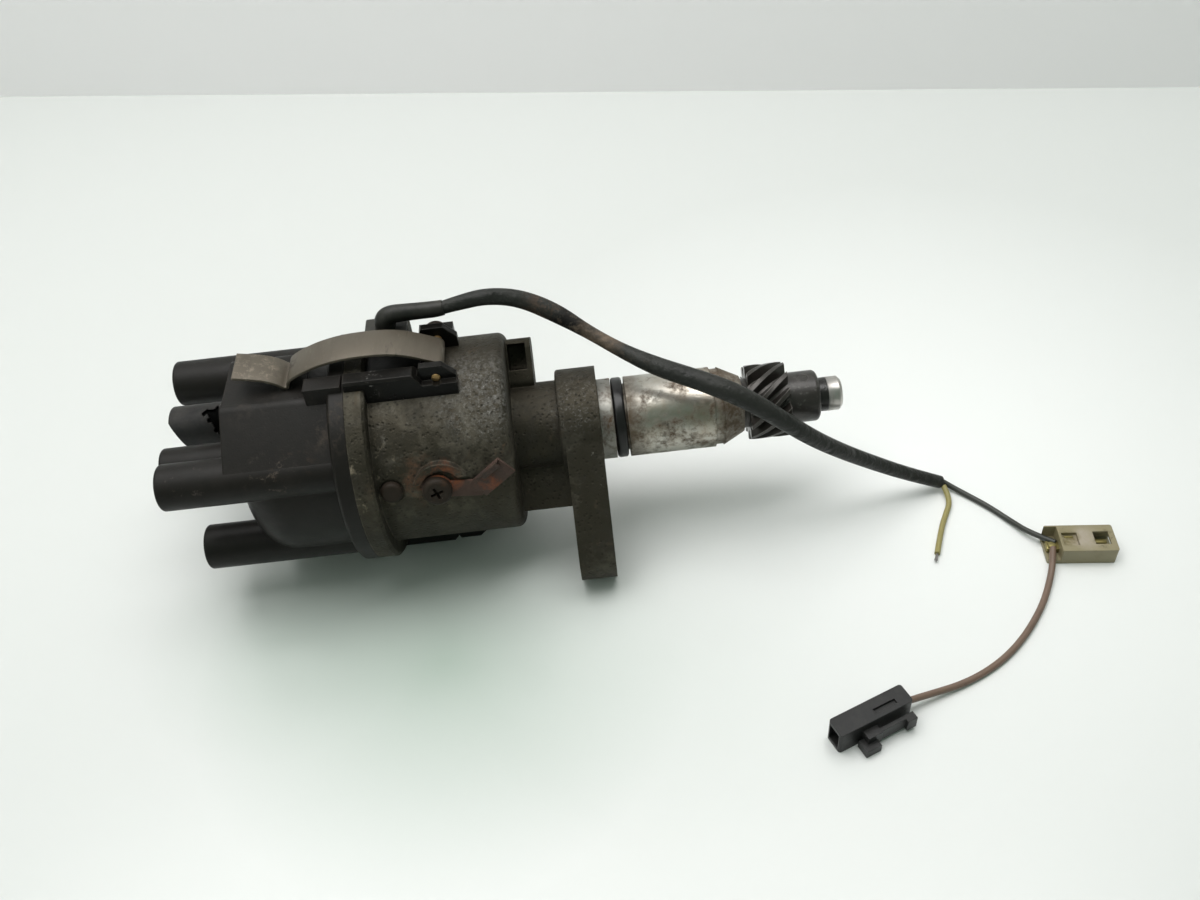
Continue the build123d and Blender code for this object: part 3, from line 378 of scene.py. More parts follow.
# ---------------------------------------------------------------- finishes
cast_alloy = finish(
    "cast_alloy", (0.056, 0.05, 0.038),
    layers=[((0.021, 0.019, 0.014), 34, 0.54, 0.2, 0.62), ((0.105, 0.094, 0.07), 55, 0.46, 0.2, 0.8),
            ((0.085, 0.06, 0.036), 95, 0.36, 0.16, 0.85), ((0.018, 0.016, 0.012), 150, 0.34, 0.12, 0.6),
            ((0.17, 0.158, 0.135), 420, 0.27, 0.1, 0.6), ((0.13, 0.08, 0.035), 70, 0.16, 0.2, 0.85)],
    rough=0.62, metal=0.12, worn=(0.2, 0.18, 0.145), wear=0.5, edge=0.7, grain=1300, depth=0.0003, pitting=0.6,
    bare_metal=0.3, pits=(0.03, 0.027, 0.021), specular=0.35,
    zones=[((0.15, 0.144, 0.132), (-39, -13, 32), 19, 620, 0.58, 0.24),
           ((0.27, 0.262, 0.248), (-37, -17, 29), 16, 900, 0.46, 0.18),
           ((0.115, 0.108, 0.095), (-8, -9, 19), 15, 620, 0.48, 0.3),
           ((0.22, 0.212, 0.198), (-8, -9, 18), 13, 950, 0.42, 0.16),
           ((0.15, 0.132, 0.098), (-60, -27, 19), 30, 48, 0.56, 0.24),
           ((0.22, 0.2, 0.17), (-66, -22, 28), 16, 90, 0.42, 0.2),
           ((0.2, 0.06, 0.022), (-53, -33, 13), 7.5, 190, 0.6, 0.2),
           ((0.15, 0.06, 0.03), (-61.5, -33, 10), 5.5, 210, 0.5, 0.18),
           ((0.13, 0.06, 0.03), (-60, -32, 12), 11, 120, 0.5, 0.2),
           ((0.14, 0.08, 0.04), (-33, -26, 20), 14, 150, 0.34, 0.16),
           # darker towards the bottom of the bowl
           ((0.02, 0.018, 0.013), (-50, -26, -24), 26, 60, 0.62, 0.3),
           ((0.25, 0.21, 0.15), (-76, -33, 16), 15, 260, 0.42, 0.12),
           # darker at the neck
           ((0.02, 0.018, 0.014), (-22, -12, 4), 18, 70, 0.6, 0.3),
           ((0.026, 0.022, 0.016), (-77, -36, -12), 19, 90, 0.72, 0.3),
           ((0.03, 0.026, 0.019), (-77, -34, 20), 13, 130, 0.52, 0.25)])
cap_moulding = finish(
    "cap_moulding", (0.0088, 0.0076, 0.0063),
    layers=[((0.017, 0.014, 0.0115), 40, 0.5, 0.3, 0.55), ((0.04, 0.032, 0.026), 120, 0.1, 0.15, 0.75)],
    rough=0.46, rough_span=0.12, worn=(0.05, 0.042, 0.034), wear=0.45, edge=0.8, grain=1800, depth=0.00005,
    dusty=(0.035, 0.031, 0.026), dust_amount=0.12, specular=0.2,
    zones=[((0.1, 0.08, 0.065), (-106, -31, 20), 10, 260, 0.42, 0.14),
           ((0.06, 0.038, 0.025), (-100, -30, 21), 10, 110, 0.42, 0.24),
           ((0.13, 0.11, 0.095), (-134, -29, 21), 8, 260, 0.36, 0.12),
           ((0.075, 0.058, 0.045), (-86, -22, 33), 12, 110, 0.45, 0.2),
           ((0.055, 0.045, 0.037), (-108, -5, 34), 17, 70, 0.45, 0.3)])
clip_metal = finish(
    "clip_metal", (0.112, 0.095, 0.072),
    layers=[((0.058, 0.047, 0.034), 60, 0.5, 0.26, 0.6), ((0.2, 0.17, 0.13), 500, 0.3, 0.08, 0.4),
            ((0.035, 0.027, 0.019), 170, 0.34, 0.14, 0.7), ((0.1, 0.052, 0.027), 150, 0.24, 0.12, 0.8)],
    rough=0.46, metal=0.5, worn=(0.3, 0.26, 0.21), wear=0.6, edge=0.35, grain=1400, depth=0.00003,
    stretch=(1, 0.25, 1),
    zones=[((0.2, 0.165, 0.125), (-110, 0, 40), 11, 420, 0.46, 0.14),
           ((0.17, 0.14, 0.105), (-88, 0, 44), 11, 420, 0.4, 0.14),
           ((0.03, 0.022, 0.015), (-99, 0, 37), 6, 260, 0.5, 0.2),
           ((0.42, 0.36, 0.28), (-110, 0, -40), 10, 420, 0.5, 0.1)])
bracket_paint = finish(
    "bracket_paint", (0.005, 0.0047, 0.0042),
    layers=[((0.022, 0.0195, 0.016), 60, 0.38, 0.25, 0.65)],
    rough=0.34, worn=(0.11, 0.1, 0.088), wear=0.5, edge=0.5, grain=1300, depth=0.00006,
    dusty=(0.045, 0.039, 0.03), dust_amount=0.16, specular=0.14,
    zones=[((0.26, 0.25, 0.235), (-72, -10, 40), 8, 420, 0.36, 0.08)])
screw_steel = finish(
    "screw_steel", (0.024, 0.0175, 0.0125),
    layers=[((0.025, 0.02, 0.015), 120, 0.52, 0.25, 0.65), ((0.07, 0.034, 0.018), 220, 0.4, 0.2, 0.85)],
    rough=0.6, worn=(0.075, 0.058, 0.042), wear=0.4, specular=0.16, edge=0.3, grain=1700, depth=0.00006)
rusty_tab = finish(
    "rusty_tab", (0.06, 0.032, 0.023),
    layers=[((0.12, 0.045, 0.025), 160, 0.45, 0.25, 0.85), ((0.025, 0.018, 0.014), 90, 0.44, 0.2, 0.8),
            ((0.16, 0.12, 0.1), 240, 0.16, 0.12, 0.5)],
    rough=0.72, metal=0.15, worn=(0.2, 0.13, 0.09), wear=0.4, edge=0.3, grain=1800, depth=0.00012, pitting=0.8,
    zones=[((0.3, 0.08, 0.025), (-51, -33, 13), 6, 200, 0.7, 0.2),
           ((0.28, 0.07, 0.025), (-37, -33, 10), 5, 200, 0.6, 0.2)])
oily_gear = finish(
    "oily_gear", (0.035, 0.03, 0.026),
    layers=[((0.012, 0.01, 0.009), 70, 0.5, 0.3, 0.3), ((0.15, 0.135, 0.12), 130, 0.22, 0.2, 0.35)],
    rough=0.36, metal=0.5, worn=(0.26, 0.245, 0.225), wear=0.8, edge=0.4, grain=1500, depth=0.00007, coat=0.3,
    zones=[((0.01, 0.009, 0.008), (71, 0, 0), 13, 160, 0.8, 0.3),
           ((0.085, 0.08, 0.073), (71, -4, 7), 10, 560, 0.42, 0.12)])
ground_steel = finish(
    "ground_steel", (0.5, 0.48, 0.455),
    layers=[((0.16, 0.12, 0.085), 90, 0.4, 0.25, 0.5)],
    rough=0.3, rough_span=0.08, metal=0.95, worn=(0.7, 0.68, 0.65), wear=0.5, edge=0.3, grain=2600,
    depth=0.00002, stretch=(3, 1, 1),
    # darker band at the neck
    zones=[((0.012, 0.01, 0.008), (76.4, 0, 0), 8.2, 140, 1.3, 0.3),
           ((0.1, 0.075, 0.05), (84, 0, -3), 8, 300, 0.4, 0.15)])
plated_steel = finish(
    "plated_steel", (0.42, 0.38, 0.28),
    layers=[((0.25, 0.2, 0.13), 70, 0.4, 0.3, 0.5)],
    rough=0.38, metal=0.85, worn=(0.6, 0.57, 0.5), edge=0.3, grain=1900, depth=0.00003)
spring_wire = finish(
    "spring_wire", (0.55, 0.54, 0.52),
    layers=[((0.3, 0.27, 0.22), 90, 0.3, 0.3, 0.4)],
    rough=0.3, metal=1.0, grain=2600, depth=0.00001)
bush_bronze = finish(
    "bush_bronze", (0.42, 0.27, 0.12),
    layers=[((0.16, 0.1, 0.05), 110, 0.4, 0.3, 0.5)],
    rough=0.42, metal=0.9, grain=2400, depth=0.00004, pitting=0.9)
seal_rubber = finish(
    "seal_rubber", (0.006, 0.0055, 0.0055),
    layers=[((0.02, 0.018, 0.016), 90, 0.3, 0.25, 0.6)],
    rough=0.34, grain=1600, depth=0.00003, specular=0.4)
boot_rubber = finish(
    "boot_rubber", (0.009, 0.009, 0.0092),
    layers=[((0.02, 0.019, 0.0175), 60, 0.4, 0.3, 0.7)],
    rough=0.5, specular=0.28, worn=(0.04, 0.036, 0.032), wear=0.5, edge=0.6, grain=1300, depth=0.00008,
    dusty=(0.09, 0.08, 0.07), dust_amount=0.35)
dark_neck_finish = finish(
    "dark_neck_finish", (0.008, 0.007, 0.0055),
    layers=[((0.02, 0.017, 0.013), 260, 0.4, 0.2, 0.4)],
    rough=0.3, grain=1500, depth=0.00012)
# near-black finish that paints the shade inside the torn boot
painted_shade_black = finish(
    "painted_shade_black", (0.0015, 0.0016, 0.0014),
    rough=0.8, specular=0.05, grain=900, depth=0.00003)
elbow_rubber = finish(
    "elbow_rubber", (0.0125, 0.013, 0.011),
    layers=[((0.024, 0.023, 0.019), 70, 0.42, 0.3, 0.62)],
    rough=0.46, specular=0.3, grain=1100, depth=0.00005, dusty=(0.12, 0.11, 0.09), dust_amount=0.35)
sleeve_plastic = finish(
    "sleeve_plastic", (0.0175, 0.0185, 0.016),
    layers=[((0.009, 0.009, 0.0085), 60, 0.45, 0.25, 0.35), ((0.05, 0.04, 0.03), 95, 0.16, 0.2, 0.75)],
    rough=0.46, rough_span=0.12, grain=380, depth=0.0012, pitting=0.45, dusty=(0.06, 0.057, 0.05),
    dust_amount=0.3, specular=0.26,
    zones=[((0.15, 0.11, 0.08), (2, 9, 30), 11, 110, 0.72, 0.2),
           ((0.06, 0.042, 0.03), (-12, 16, 38), 12, 260, 0.6, 0.12),
           ((0.005, 0.004, 0.004), (-8, 13, 33), 8, 330, 0.62, 0.06),
           ((0.075, 0.055, 0.04), (13, 3, 26), 10, 200, 0.46, 0.14)])
black_wire = finish(
    "black_wire", (0.025, 0.027, 0.021),
    layers=[((0.09, 0.09, 0.065), 180, 0.35, 0.25, 0.5)],
    rough=0.4, grain=1500, depth=0.00003)
brown_wire = finish(
    "brown_wire", (0.165, 0.108, 0.078),
    layers=[((0.085, 0.06, 0.044), 150, 0.46, 0.3, 0.6), ((0.25, 0.185, 0.145), 240, 0.26, 0.2, 0.5)],
    rough=0.45, grain=1500, depth=0.00003)
yellow_wire = finish(
    "yellow_wire", (0.29, 0.25, 0.09),
    layers=[((0.12, 0.1, 0.035), 170, 0.4, 0.25, 0.6), ((0.1, 0.14, 0.05), 260, 0.25, 0.2, 0.5)],
    rough=0.48, grain=1500, depth=0.00003)
bare_copper = finish(
    "bare_copper", (0.32, 0.3, 0.29),
    layers=[((0.1, 0.08, 0.07), 300, 0.4, 0.3, 0.5)],
    rough=0.35, metal=0.9, grain=2500, depth=0.00001)
aged_nylon = finish(
    "aged_nylon", (0.25, 0.216, 0.125),
    layers=[((0.17, 0.135, 0.06), 110, 0.44, 0.3, 0.5), ((0.07, 0.057, 0.03), 240, 0.3, 0.15, 0.6),
            ((0.42, 0.385, 0.31), 80, 0.3, 0.3, 0.4)],
    rough=0.4, worn=(0.3, 0.25, 0.15), wear=0.6, edge=0.5, grain=900, depth=0.00004,
    zones=[((0.42, 0.36, 0.31), (162.5, -46, -38.5), 6, 60, 0.8, 0.4),
           ((0.13, 0.1, 0.03), (156.6, -45, -38.5), 4.5, 180, 0.62, 0.2),
           ((0.1, 0.075, 0.03), (168, -47, -38.5), 5, 260, 0.5, 0.12)])
amber_brass = finish(
    "amber_brass", (0.24, 0.2, 0.07),
    layers=[((0.07, 0.055, 0.025), 260, 0.45, 0.2, 0.6), ((0.5, 0.44, 0.28), 320, 0.25, 0.15, 0.35)],
    rough=0.4, metal=0.6, grain=1800, depth=0.00005)
plug_moulding = finish(
    "plug_moulding", (0.0115, 0.0115, 0.0115),
    layers=[((0.026, 0.025, 0.022), 130, 0.35, 0.25, 0.6)],
    rough=0.4, specular=0.35, worn=(0.075, 0.072, 0.068), wear=0.5, edge=0.35, grain=1500, depth=0.00004,
    dusty=(0.11, 0.1, 0.09), dust_amount=0.16)
terminal_brass = finish(
    "terminal_brass", (0.5, 0.38, 0.18),
    layers=[((0.22, 0.15, 0.07), 140, 0.4, 0.25, 0.55)],
    rough=0.35, metal=0.9, grain=2000, depth=0.00003)
inner_moulding = finish(
    "inner_moulding", (0.035, 0.025, 0.02),
    layers=[((0.06, 0.05, 0.04), 60, 0.35, 0.3, 0.6)],
    rough=0.45, worn=(0.1, 0.08, 0.06), grain=1600, depth=0.00004)
coil_winding = finish(
    "coil_winding", (0.16, 0.07, 0.03),
    layers=[((0.08, 0.035, 0.02), 160, 0.4, 0.25, 0.4)],
    rough=0.32, grain=2200, depth=0.00006, stretch=(1, 4, 4))
carbon = finish(
    "carbon", (0.014, 0.014, 0.015),
    layers=[((0.035, 0.035, 0.037), 300, 0.3, 0.2, 0.4)],
    rough=0.5, grain=2600, depth=0.00002)


# the casting is bright where it was turned for the engine's bore
SPIGOT_START, SPIGOT_END = 0.15, 60.0       # places along the shaft, mm
COLLAR_END, BESIDE_RING, NOSE_START, UNDER_TOP = 4.9, 10.0, 38.2, -2.0
TURNED = {"bright": (0.5, 0.485, 0.44), "stain": (0.34, 0.265, 0.185), "spots": (0.09, 0.055, 0.032),
          "drip": (0.03, 0.024, 0.018), "collar": (0.25, 0.245, 0.225), "under": (0.33, 0.35, 0.29),
          "soot": (0.085, 0.06, 0.038)}
TURNED_ROUGH = 0.35


def turn_spigot(material):
    """Blend the turned metal into a casting, with its stains and old oil."""
    tree = material.node_tree
    shader = tree.nodes["Principled BSDF"]
    place = [n for n in tree.nodes if n.bl_idname == "ShaderNodeTexCoord"][0].outputs["Object"]
    split = tree.nodes.new("ShaderNodeSeparateXYZ")
    tree.links.new(place, split.inputs[0])
    wobble = maths(tree, "MULTIPLY", maths(tree, "SUBTRACT", noise(tree, place, 300.0), 0.5), 0.0006)
    x = maths(tree, "ADD", split.outputs["X"], wobble)
    mask = maths(tree, "MULTIPLY", maths(tree, "GREATER_THAN", x, SPIGOT_START * MM),
                 maths(tree, "LESS_THAN", x, SPIGOT_END * MM))
    stain = use(tree, patches, place, Scale=42.0, Amount=0.58, Softness=0.3).outputs["Mask"]
    spots = use(tree, patches, place, Scale=120.0, Amount=0.53, Softness=0.14).outputs["Mask"]
    drip = use(tree, patches, place, Scale=70.0, Amount=0.34, Softness=0.1).outputs["Mask"]
    bright = tint(tree, TURNED["bright"], TURNED["stain"], stain)
    collar = maths(tree, "LESS_THAN", x, COLLAR_END * MM)
    bright = tint(tree, bright, TURNED["collar"], maths(tree, "MULTIPLY", collar, 0.85))
    bright = tint(tree, bright, TURNED["spots"], spots)
    bright = tint(tree, bright, TURNED["drip"], drip)
    # old oil at the nose and beside the ring, and a grey-green tone along the underside
    nose = maths(tree, "MULTIPLY", maths(tree, "SUBTRACT", x, NOSE_START * MM), 260.0, clamp=True)
    from_ring = maths(tree, "ABSOLUTE", maths(tree, "SUBTRACT", x, BESIDE_RING * MM))
    beside = maths(tree, "SUBTRACT", 1.0, maths(tree, "MULTIPLY", from_ring, 150.0), clamp=True)
    under = maths(tree, "MULTIPLY", maths(tree, "SUBTRACT", UNDER_TOP * MM, split.outputs["Z"]), 90.0, clamp=True)
    bright = tint(tree, bright, TURNED["under"], maths(tree, "MULTIPLY", under, 0.8))
    crust = use(tree, patches, place, Scale=150.0, Amount=0.98, Softness=0.34).outputs["Mask"]
    soot = maths(tree, "MULTIPLY", maths(tree, "MAXIMUM", nose, beside), crust)
    bright = tint(tree, bright, TURNED["soot"], soot)
    old_colour = shader.inputs["Base Color"].links[0].from_socket
    tree.links.new(tint(tree, old_colour, bright, mask), shader.inputs["Base Color"])

    def merge(socket, value):
        """Keep the casting's own value outside the mask."""
        link = shader.inputs[socket].links
        before = link[0].from_socket if link else shader.inputs[socket].default_value
        kept = maths(tree, "MULTIPLY", maths(tree, "SUBTRACT", 1.0, mask), before)
        new = maths(tree, "MULTIPLY", mask, value)
        tree.links.new(maths(tree, "ADD", kept, new, clamp=True), shader.inputs[socket])

    dirt = maths(tree, "MAXIMUM", maths(tree, "MAXIMUM", spots, drip), soot)
    dull = maths(tree, "ADD", maths(tree, "MULTIPLY", dirt, 0.3), maths(tree, "MULTIPLY", collar, 0.14))
    merge("Roughness", maths(tree, "ADD", dull, TURNED_ROUGH))
    merge("Metallic", maths(tree, "SUBTRACT", 1.0, maths(tree, "MULTIPLY", dirt, 0.8)))
    bump = [n for n in tree.nodes if n.bl_idname == "ShaderNodeBump"][0]
    strength = maths(tree, "SUBTRACT", 1.0, maths(tree, "MULTIPLY", mask, 0.86))
    tree.links.new(strength, bump.inputs["Strength"])


turn_spigot(cast_alloy)

NODE_FINISH = {
    "housing": cast_alloy, "upper_bush": bush_bronze, "lower_bush": bush_bronze, "oil_seal": seal_rubber,
    "thrust_shim": ground_steel, "spigot_o_ring": seal_rubber, "cap_seal": seal_rubber, "side_screws": screw_steel,
    "earth_screw": screw_steel, "earth_terminal": rusty_tab, "shaft": ground_steel, "thrust_washer": oily_gear,
    "drive_gear": oily_gear, "gear_pin": oily_gear, "governor_plate": plated_steel, "weight_pivot_pins": ground_steel,
    "governor_weight_a": plated_steel, "governor_weight_b": plated_steel, "governor_spring_a": spring_wire,
    "governor_spring_b": spring_wire, "cam_sleeve": ground_steel, "sleeve_screw": screw_steel, "reluctor": plated_steel,
    "rotor_arm": inner_moulding, "rotor_contact": terminal_brass, "pickup_plate": plated_steel,
    "pickup_pole": plated_steel, "pickup_coil": coil_winding, "igniter_module": plug_moulding,
    "igniter_screws": screw_steel, "cap": cap_moulding, "side_terminals": terminal_brass,
    "centre_terminal": terminal_brass, "carbon_brush": carbon, "brush_spring": spring_wire,
    "clip_upper": clip_metal, "clip_lower": clip_metal, "clip_bracket_upper": bracket_paint,
    "clip_bracket_lower": bracket_paint, "clip_pin_upper": bush_bronze, "clip_pin_lower": bush_bronze,
    "bracket_screws": screw_steel, "white_plug": aged_nylon, "black_plug": plug_moulding,
}
for name, material in NODE_FINISH.items():
    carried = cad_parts[name]
    carried.data.materials.clear()
    carried.data.materials.append(material)

# ---------------------------------------------------------------- camera, light and floor
LENS, SENSOR = 33.42, 36.0
CAMERA_PLACE = (-1.2, -283.3, 268.2)
ROLL = 6.46                                 # degrees; the camera looks down at 45
bpy.ops.object.camera_add()
camera = bpy.context.object
roll = radians(ROLL)
along, back, rise = Vector((1, 0, 0)), Vector((0, -0.70711, 0.70711)), Vector((0, 0.70711, 0.70711))
right = cos(roll) * along - sin(roll) * rise
up = sin(roll) * along + cos(roll) * rise
stand = Matrix((right, up, back)).transposed().to_4x4()
stand.translation = mm(CAMERA_PLACE)
camera.matrix_world = stand
camera.data.lens = LENS
camera.data.sensor_width = SENSOR
camera.data.clip_start = 0.01
bpy.context.scene.camera = camera


def lamp(place, aim, size, power, colour):
    """Soft box, place and size in metres, power in watts."""
    bpy.ops.object.light_add(type="AREA", location=place)
    light = bpy.context.object
    light.data.shape = "RECTANGLE"
    light.data.size, light.data.size_y = size
    light.data.energy = power
    light.data.color = colour
    light.rotation_euler = (Vector(aim) - Vector(place)).to_track_quat("-Z", "Y").to_euler()


lamp((-0.05, 0.15, 0.95), (0, 0.02, 0), (1.15, 0.8), 13.3, (1.0, 0.985, 0.985))
lamp((-0.9, -0.5, 0.7), (0, 0, 0), (0.7, 0.7), 1.8, (1.0, 0.99, 0.97))
world = bpy.data.worlds.new("studio")
bpy.context.scene.world = world
world.use_nodes = True
world.node_tree.nodes["Background"].inputs["Color"].default_value = (0.77, 1.0, 0.84, 1)
world.node_tree.nodes["Background"].inputs["Strength"].default_value = 0.23


def sheet(name, size, place, turn, colour, rough):
    """Flat backdrop: the bench, or the wall behind it."""
    drop_selection()
    bpy.ops.mesh.primitive_grid_add(x_subdivisions=2, y_subdivisions=2, size=1, location=place, rotation=turn)
    bpy.context.object.scale = (*size, 1)
    made = settle(bpy.context.object, name)
    skin = bpy.data.materials.new(name)
    skin.use_nodes = True
    shader = skin.node_tree.nodes["Principled BSDF"]
    shader.inputs["Base Color"].default_value = (*colour, 1)
    shader.inputs["Roughness"].default_value = rough
    made.data.materials.append(skin)
    return made, skin.node_tree, shader


BENCH_WHITE, PAINTED_SHADOW_GREEN, PAINTED_LIGHT_PALE = (0.7, 0.715, 0.7), (0.36, 0.46, 0.385), (0.9, 0.91, 0.9)
BENCH_GAP = 0.0001                          # metres below the part
bench, tree, shader = sheet("bench", (6, 6), (0, 0, FLOOR - BENCH_GAP), (0, 0, 0), BENCH_WHITE, 0.24)
# painted shadow: the bench is tinted green-grey in front of the part, where the part's shadow falls, and painted paler
# by the drive end as a pool of light
bench_place = tree.nodes.new("ShaderNodeTexCoord").outputs["Object"]
bench_colour = BENCH_WHITE
for (x, y), reach, depth, cast in (
        ((-62, -62), 85, 0.75, PAINTED_SHADOW_GREEN), ((15, -70), 70, 0.22, PAINTED_SHADOW_GREEN),
        ((-120, -45), 50, 0.35, PAINTED_SHADOW_GREEN), ((120, 10), 190, 0.9, PAINTED_LIGHT_PALE)):
    inward = closeness(tree, bench_place, (x * MM, y * MM, FLOOR), reach * MM)
    bench_colour = tint(tree, bench_colour, cast, maths(tree, "MULTIPLY", inward, depth))
tree.links.new(bench_colour, shader.inputs["Base Color"])

# the wall can be looked through from behind
wall, tree, shader = sheet(
    "wall", (8, 3), (-0.007, 0.331, 1.2), (radians(90), 0, radians(-12.4)), (0.985, 0.965, 0.975), 0.7)
through = tree.nodes.new("ShaderNodeMixShader")
tree.links.new(tree.nodes.new("ShaderNodeNewGeometry").outputs["Backfacing"], through.inputs[0])
tree.links.new(shader.outputs["BSDF"], through.inputs[1])
tree.links.new(tree.nodes.new("ShaderNodeBsdfTransparent").outputs["BSDF"], through.inputs[2])
tree.links.new(through.outputs["Shader"], tree.nodes["Material Output"].inputs["Surface"])
bpy.context.scene.view_settings.view_transform = "Standard"

# ---------------------------------------------------------------- leads
SLEEVE_R, WIRE_R, BROWN_R = 2.7, 1.0, 1.1
sleeve_route = [
    (-48.9, 14.0, 45.0), (-41.3, 15.1, 45.9), (-32.5, 17.1, 45.7), (-22.0, 18.0, 42.6), (-11.0, 15.5, 36.9),
    (-0.7, 11.0, 30.6), (10.0, 4.5, 26.0), (20.5, -3.5, 24.5), (31.0, -10.5, 24.2), (41.0, -16.0, 22.6),
    (50.3, -19.3, 18.0), (60.0, -21.0, 10.0), (70.5, -20.0, -0.8), (82.2, -17.0, -12.2), (95.4, -13.5, -23.7),
    (109.4, -11.0, -34.3), (122.5, -9.8, floor + SLEEVE_R + 0.6),
]
black_route = [
    (122.9, -8.6, floor + 3.1), (127.2, -11.8, floor + 1.5), (131.8, -16.3, floor + 1.0), (137.0, -22.3, floor + 1.0),
    (142.2, -29.8, floor + 1.0), (146.4, -37.8, floor + 2.6), (152.8, -44.2, floor + 3.9),
]
yellow_route = [
    (123.5, -11.5, floor + 2.8), (124.7, -17.2, floor + 1.3), (120.6, -24.2, floor + 1.0), (117.2, -30.4, floor + 1.0),
    (112.7, -41.0, floor + 1.0),
]
brown_route = [
    (151.2, -46.1, floor + 3.6), (149.3, -51.9, floor + 2.9), (146.2, -58.2, floor + 1.3),
    (141.6, -65.8, floor + 1.1), (135.9, -73.0, floor + 1.1), (129.4, -79.8, floor + 1.1), (121.8, -86.0, floor + 1.1),
    (113.3, -90.9, floor + 1.1), (104.4, -94.4, floor + 1.4), (95.2, -97.0, floor + 2.8), (83.4, -100.5, floor + 4.9),
]


def smooth_line(name, dimensions, route, swell=()):
    """Curve object: one smooth line drawn by its points, mm."""
    curve = bpy.data.curves.new(name, "CURVE")
    curve.dimensions = dimensions
    spline = curve.splines.new("NURBS")
    spline.points.add(len(route) - 1)
    for index, point in enumerate(route):
        spline.points[index].co = (*mm(point), 1.0)
        spline.points[index].radius = swell[index] if swell else 1.0
    spline.order_u = 3
    spline.use_endpoint_u = True
    made = bpy.data.objects.new(name, curve)
    bpy.context.collection.objects.link(made)
    return made


def lead(name, route, radius, swell=()):
    """Round lead; swell scales its thickness at each point of the route."""
    made = smooth_line(name, "3D", route, swell)
    made.data.bevel_depth = radius * MM
    made.data.bevel_resolution = 6
    made.data.resolution_u = 12
    made.data.use_fill_caps = True
    return made


swell = [0.8, 0.95, 1.04, 1.12, 1.22, 0.84, 0.92, 1.2, 1.22, 1.3, 1.24, 1.14, 1.1, 1.04, 1.0, 0.94, 0.88]
sleeve = fit(lead("lead_sleeve_skin", sleeve_route, SLEEVE_R, swell), "lead_sleeve_skin", sleeve_plastic,
             replaces=["lead_sleeve"])
black = fit(lead("black_lead", black_route, WIRE_R), "black_lead", black_wire, replaces=["wire_black"])
yellow = fit(lead("yellow_lead", yellow_route, WIRE_R), "yellow_lead", yellow_wire,
             replaces=["wire_yellow"])
brown = fit(lead("brown_lead", brown_route, BROWN_R), "brown_lead", brown_wire, replaces=["wire_brown"])

# ---------------------------------------------------------------- pieces
# ring that nearly fills its groove
ring = carve(soften(rod((4.95, 0, 0), (8.75, 0, 0), 13.99, 96), 0.9, 4), rod((4, 0, 0), (10, 0, 0), 11.7, 96))
fit(smooth(ring, 35), "spigot_ring", seal_rubber, replaces=["spigot_o_ring"])

# sprung clip: a flared lip, a sharp bend that drops behind the saddle's ridge, a long bow and a curl round the pin
PIN_X, PIN_Z, CURL_R = -50.7, 36.8, 2.05
CLIP_WIDTH, CLIP_THICKNESS = 12.5, 1.0
bow = [(PIN_X + CURL_R * cos(radians(turn)), PIN_Z + CURL_R * sin(radians(turn))) for turn in range(-150, 66, 15)]
bow += [(-54.5, 40.8), (-58.5, 42.6), (-62.8, 43.9), (-67.5, 44.6), (-74.5, 44.74), (-81.0, 44.3), (-87.0, 43.1),
        (-92.5, 41.2), (-97.0, 39.0), (-98.9, 37.5), (-99.3, 35.2), (-100.6, 35.3), (-102.4, 37.1), (-105.5, 38.9),
        (-109.4, 40.2), (-115.9, 41.6)]


def sprung_clip(name, side):
    """Strip bent to the bow and cut to width; side is 1 above the shaft and -1 below it."""
    strip = smooth_line(name, "2D", [(x, side * z, 0) for x, z in bow])
    strip.data.resolution_u = 8
    strip.data.extrude = CLIP_WIDTH / 2 * MM
    strip.rotation_euler = (radians(90), 0, 0)
    pick(strip)
    bpy.ops.object.convert(target="MESH")
    settle(bpy.context.object)
    thick = bpy.context.object.modifiers.new("thick", "SOLIDIFY")
    thick.thickness = CLIP_THICKNESS * MM
    thick.offset = 0
    bpy.ops.object.modifier_apply(modifier=thick.name)
    return smooth(soften(bpy.context.object, 0.22, 2, 50), 40)


for name, side in (("clip_upper", 1), ("clip_lower", -1)):
    fit(sprung_clip(f"{name}_strip", side), f"{name}_strip", clip_metal, body=name, replaces=[name])

# near-black ring laid in the neck behind the gear's hub
neck = carve(rod((76.5, 0, 0), (79.4, 0, 0), 5.95, 48), rod((70, 0, 0), (90, 0, 0), 5.7, 48))
fit(smooth(neck), "neck_dark_ring", dark_neck_finish, body="drive_shaft")

# web that runs from the saddle down to the nearest tower
WEB_START, WEB_END = -121.4, -83.5
web = join(
    "web",
    rod((WEB_START, -24.86, 14.94), (WEB_END, -24.86, 14.94), 7.7),
    rod((WEB_START, -10.5, 30.3), (WEB_END, -10.5, 30.3), 4.02))
pick(web)
bpy.ops.object.mode_set(mode="EDIT")
bpy.ops.mesh.select_all(action="SELECT")
bpy.ops.mesh.convex_hull()
bpy.ops.object.mode_set(mode="OBJECT")
fit(smooth(soften(web, 2.6, 6), 60), "saddle_web", cap_moulding)

# soft elbow that swells at its root and steps down to the sleeve
root = soften(brick((-67.4, 13.4, 39.95), (14.2, 10.2, 1.5)), 0.6)
pick(lead("elbow_run", [
    (-67.4, 13.4, 32.0), (-67.4, 13.4, 40.5), (-67.3, 13.4, 43.6), (-65.0, 13.5, 45.3), (-60.5, 13.6, 45.4),
    (-54.5, 13.9, 45.1), (-49.6, 14.05, 44.98), (-47.4, 14.2, 45.15)], 3.5,
    [0.98, 1.0, 0.98, 0.9, 0.84, 0.8, 0.8, 0.74]))
bpy.ops.object.convert(target="MESH")
elbow = smooth(join("elbow_boot", bpy.context.object, root), 50)
fit(elbow, "elbow_boot", elbow_rubber, replaces=["lead_elbow"])

# what is left of a plug lead's boot, torn open towards the cap
BOOT_Y, BOOT_Z = 28.01, -7.51
boot_place = (-140.0, BOOT_Y, BOOT_Z)
view_axes = ((1, 0, 0), (0, 0.70711, 0.70711), (0, -0.70711, 0.70711))


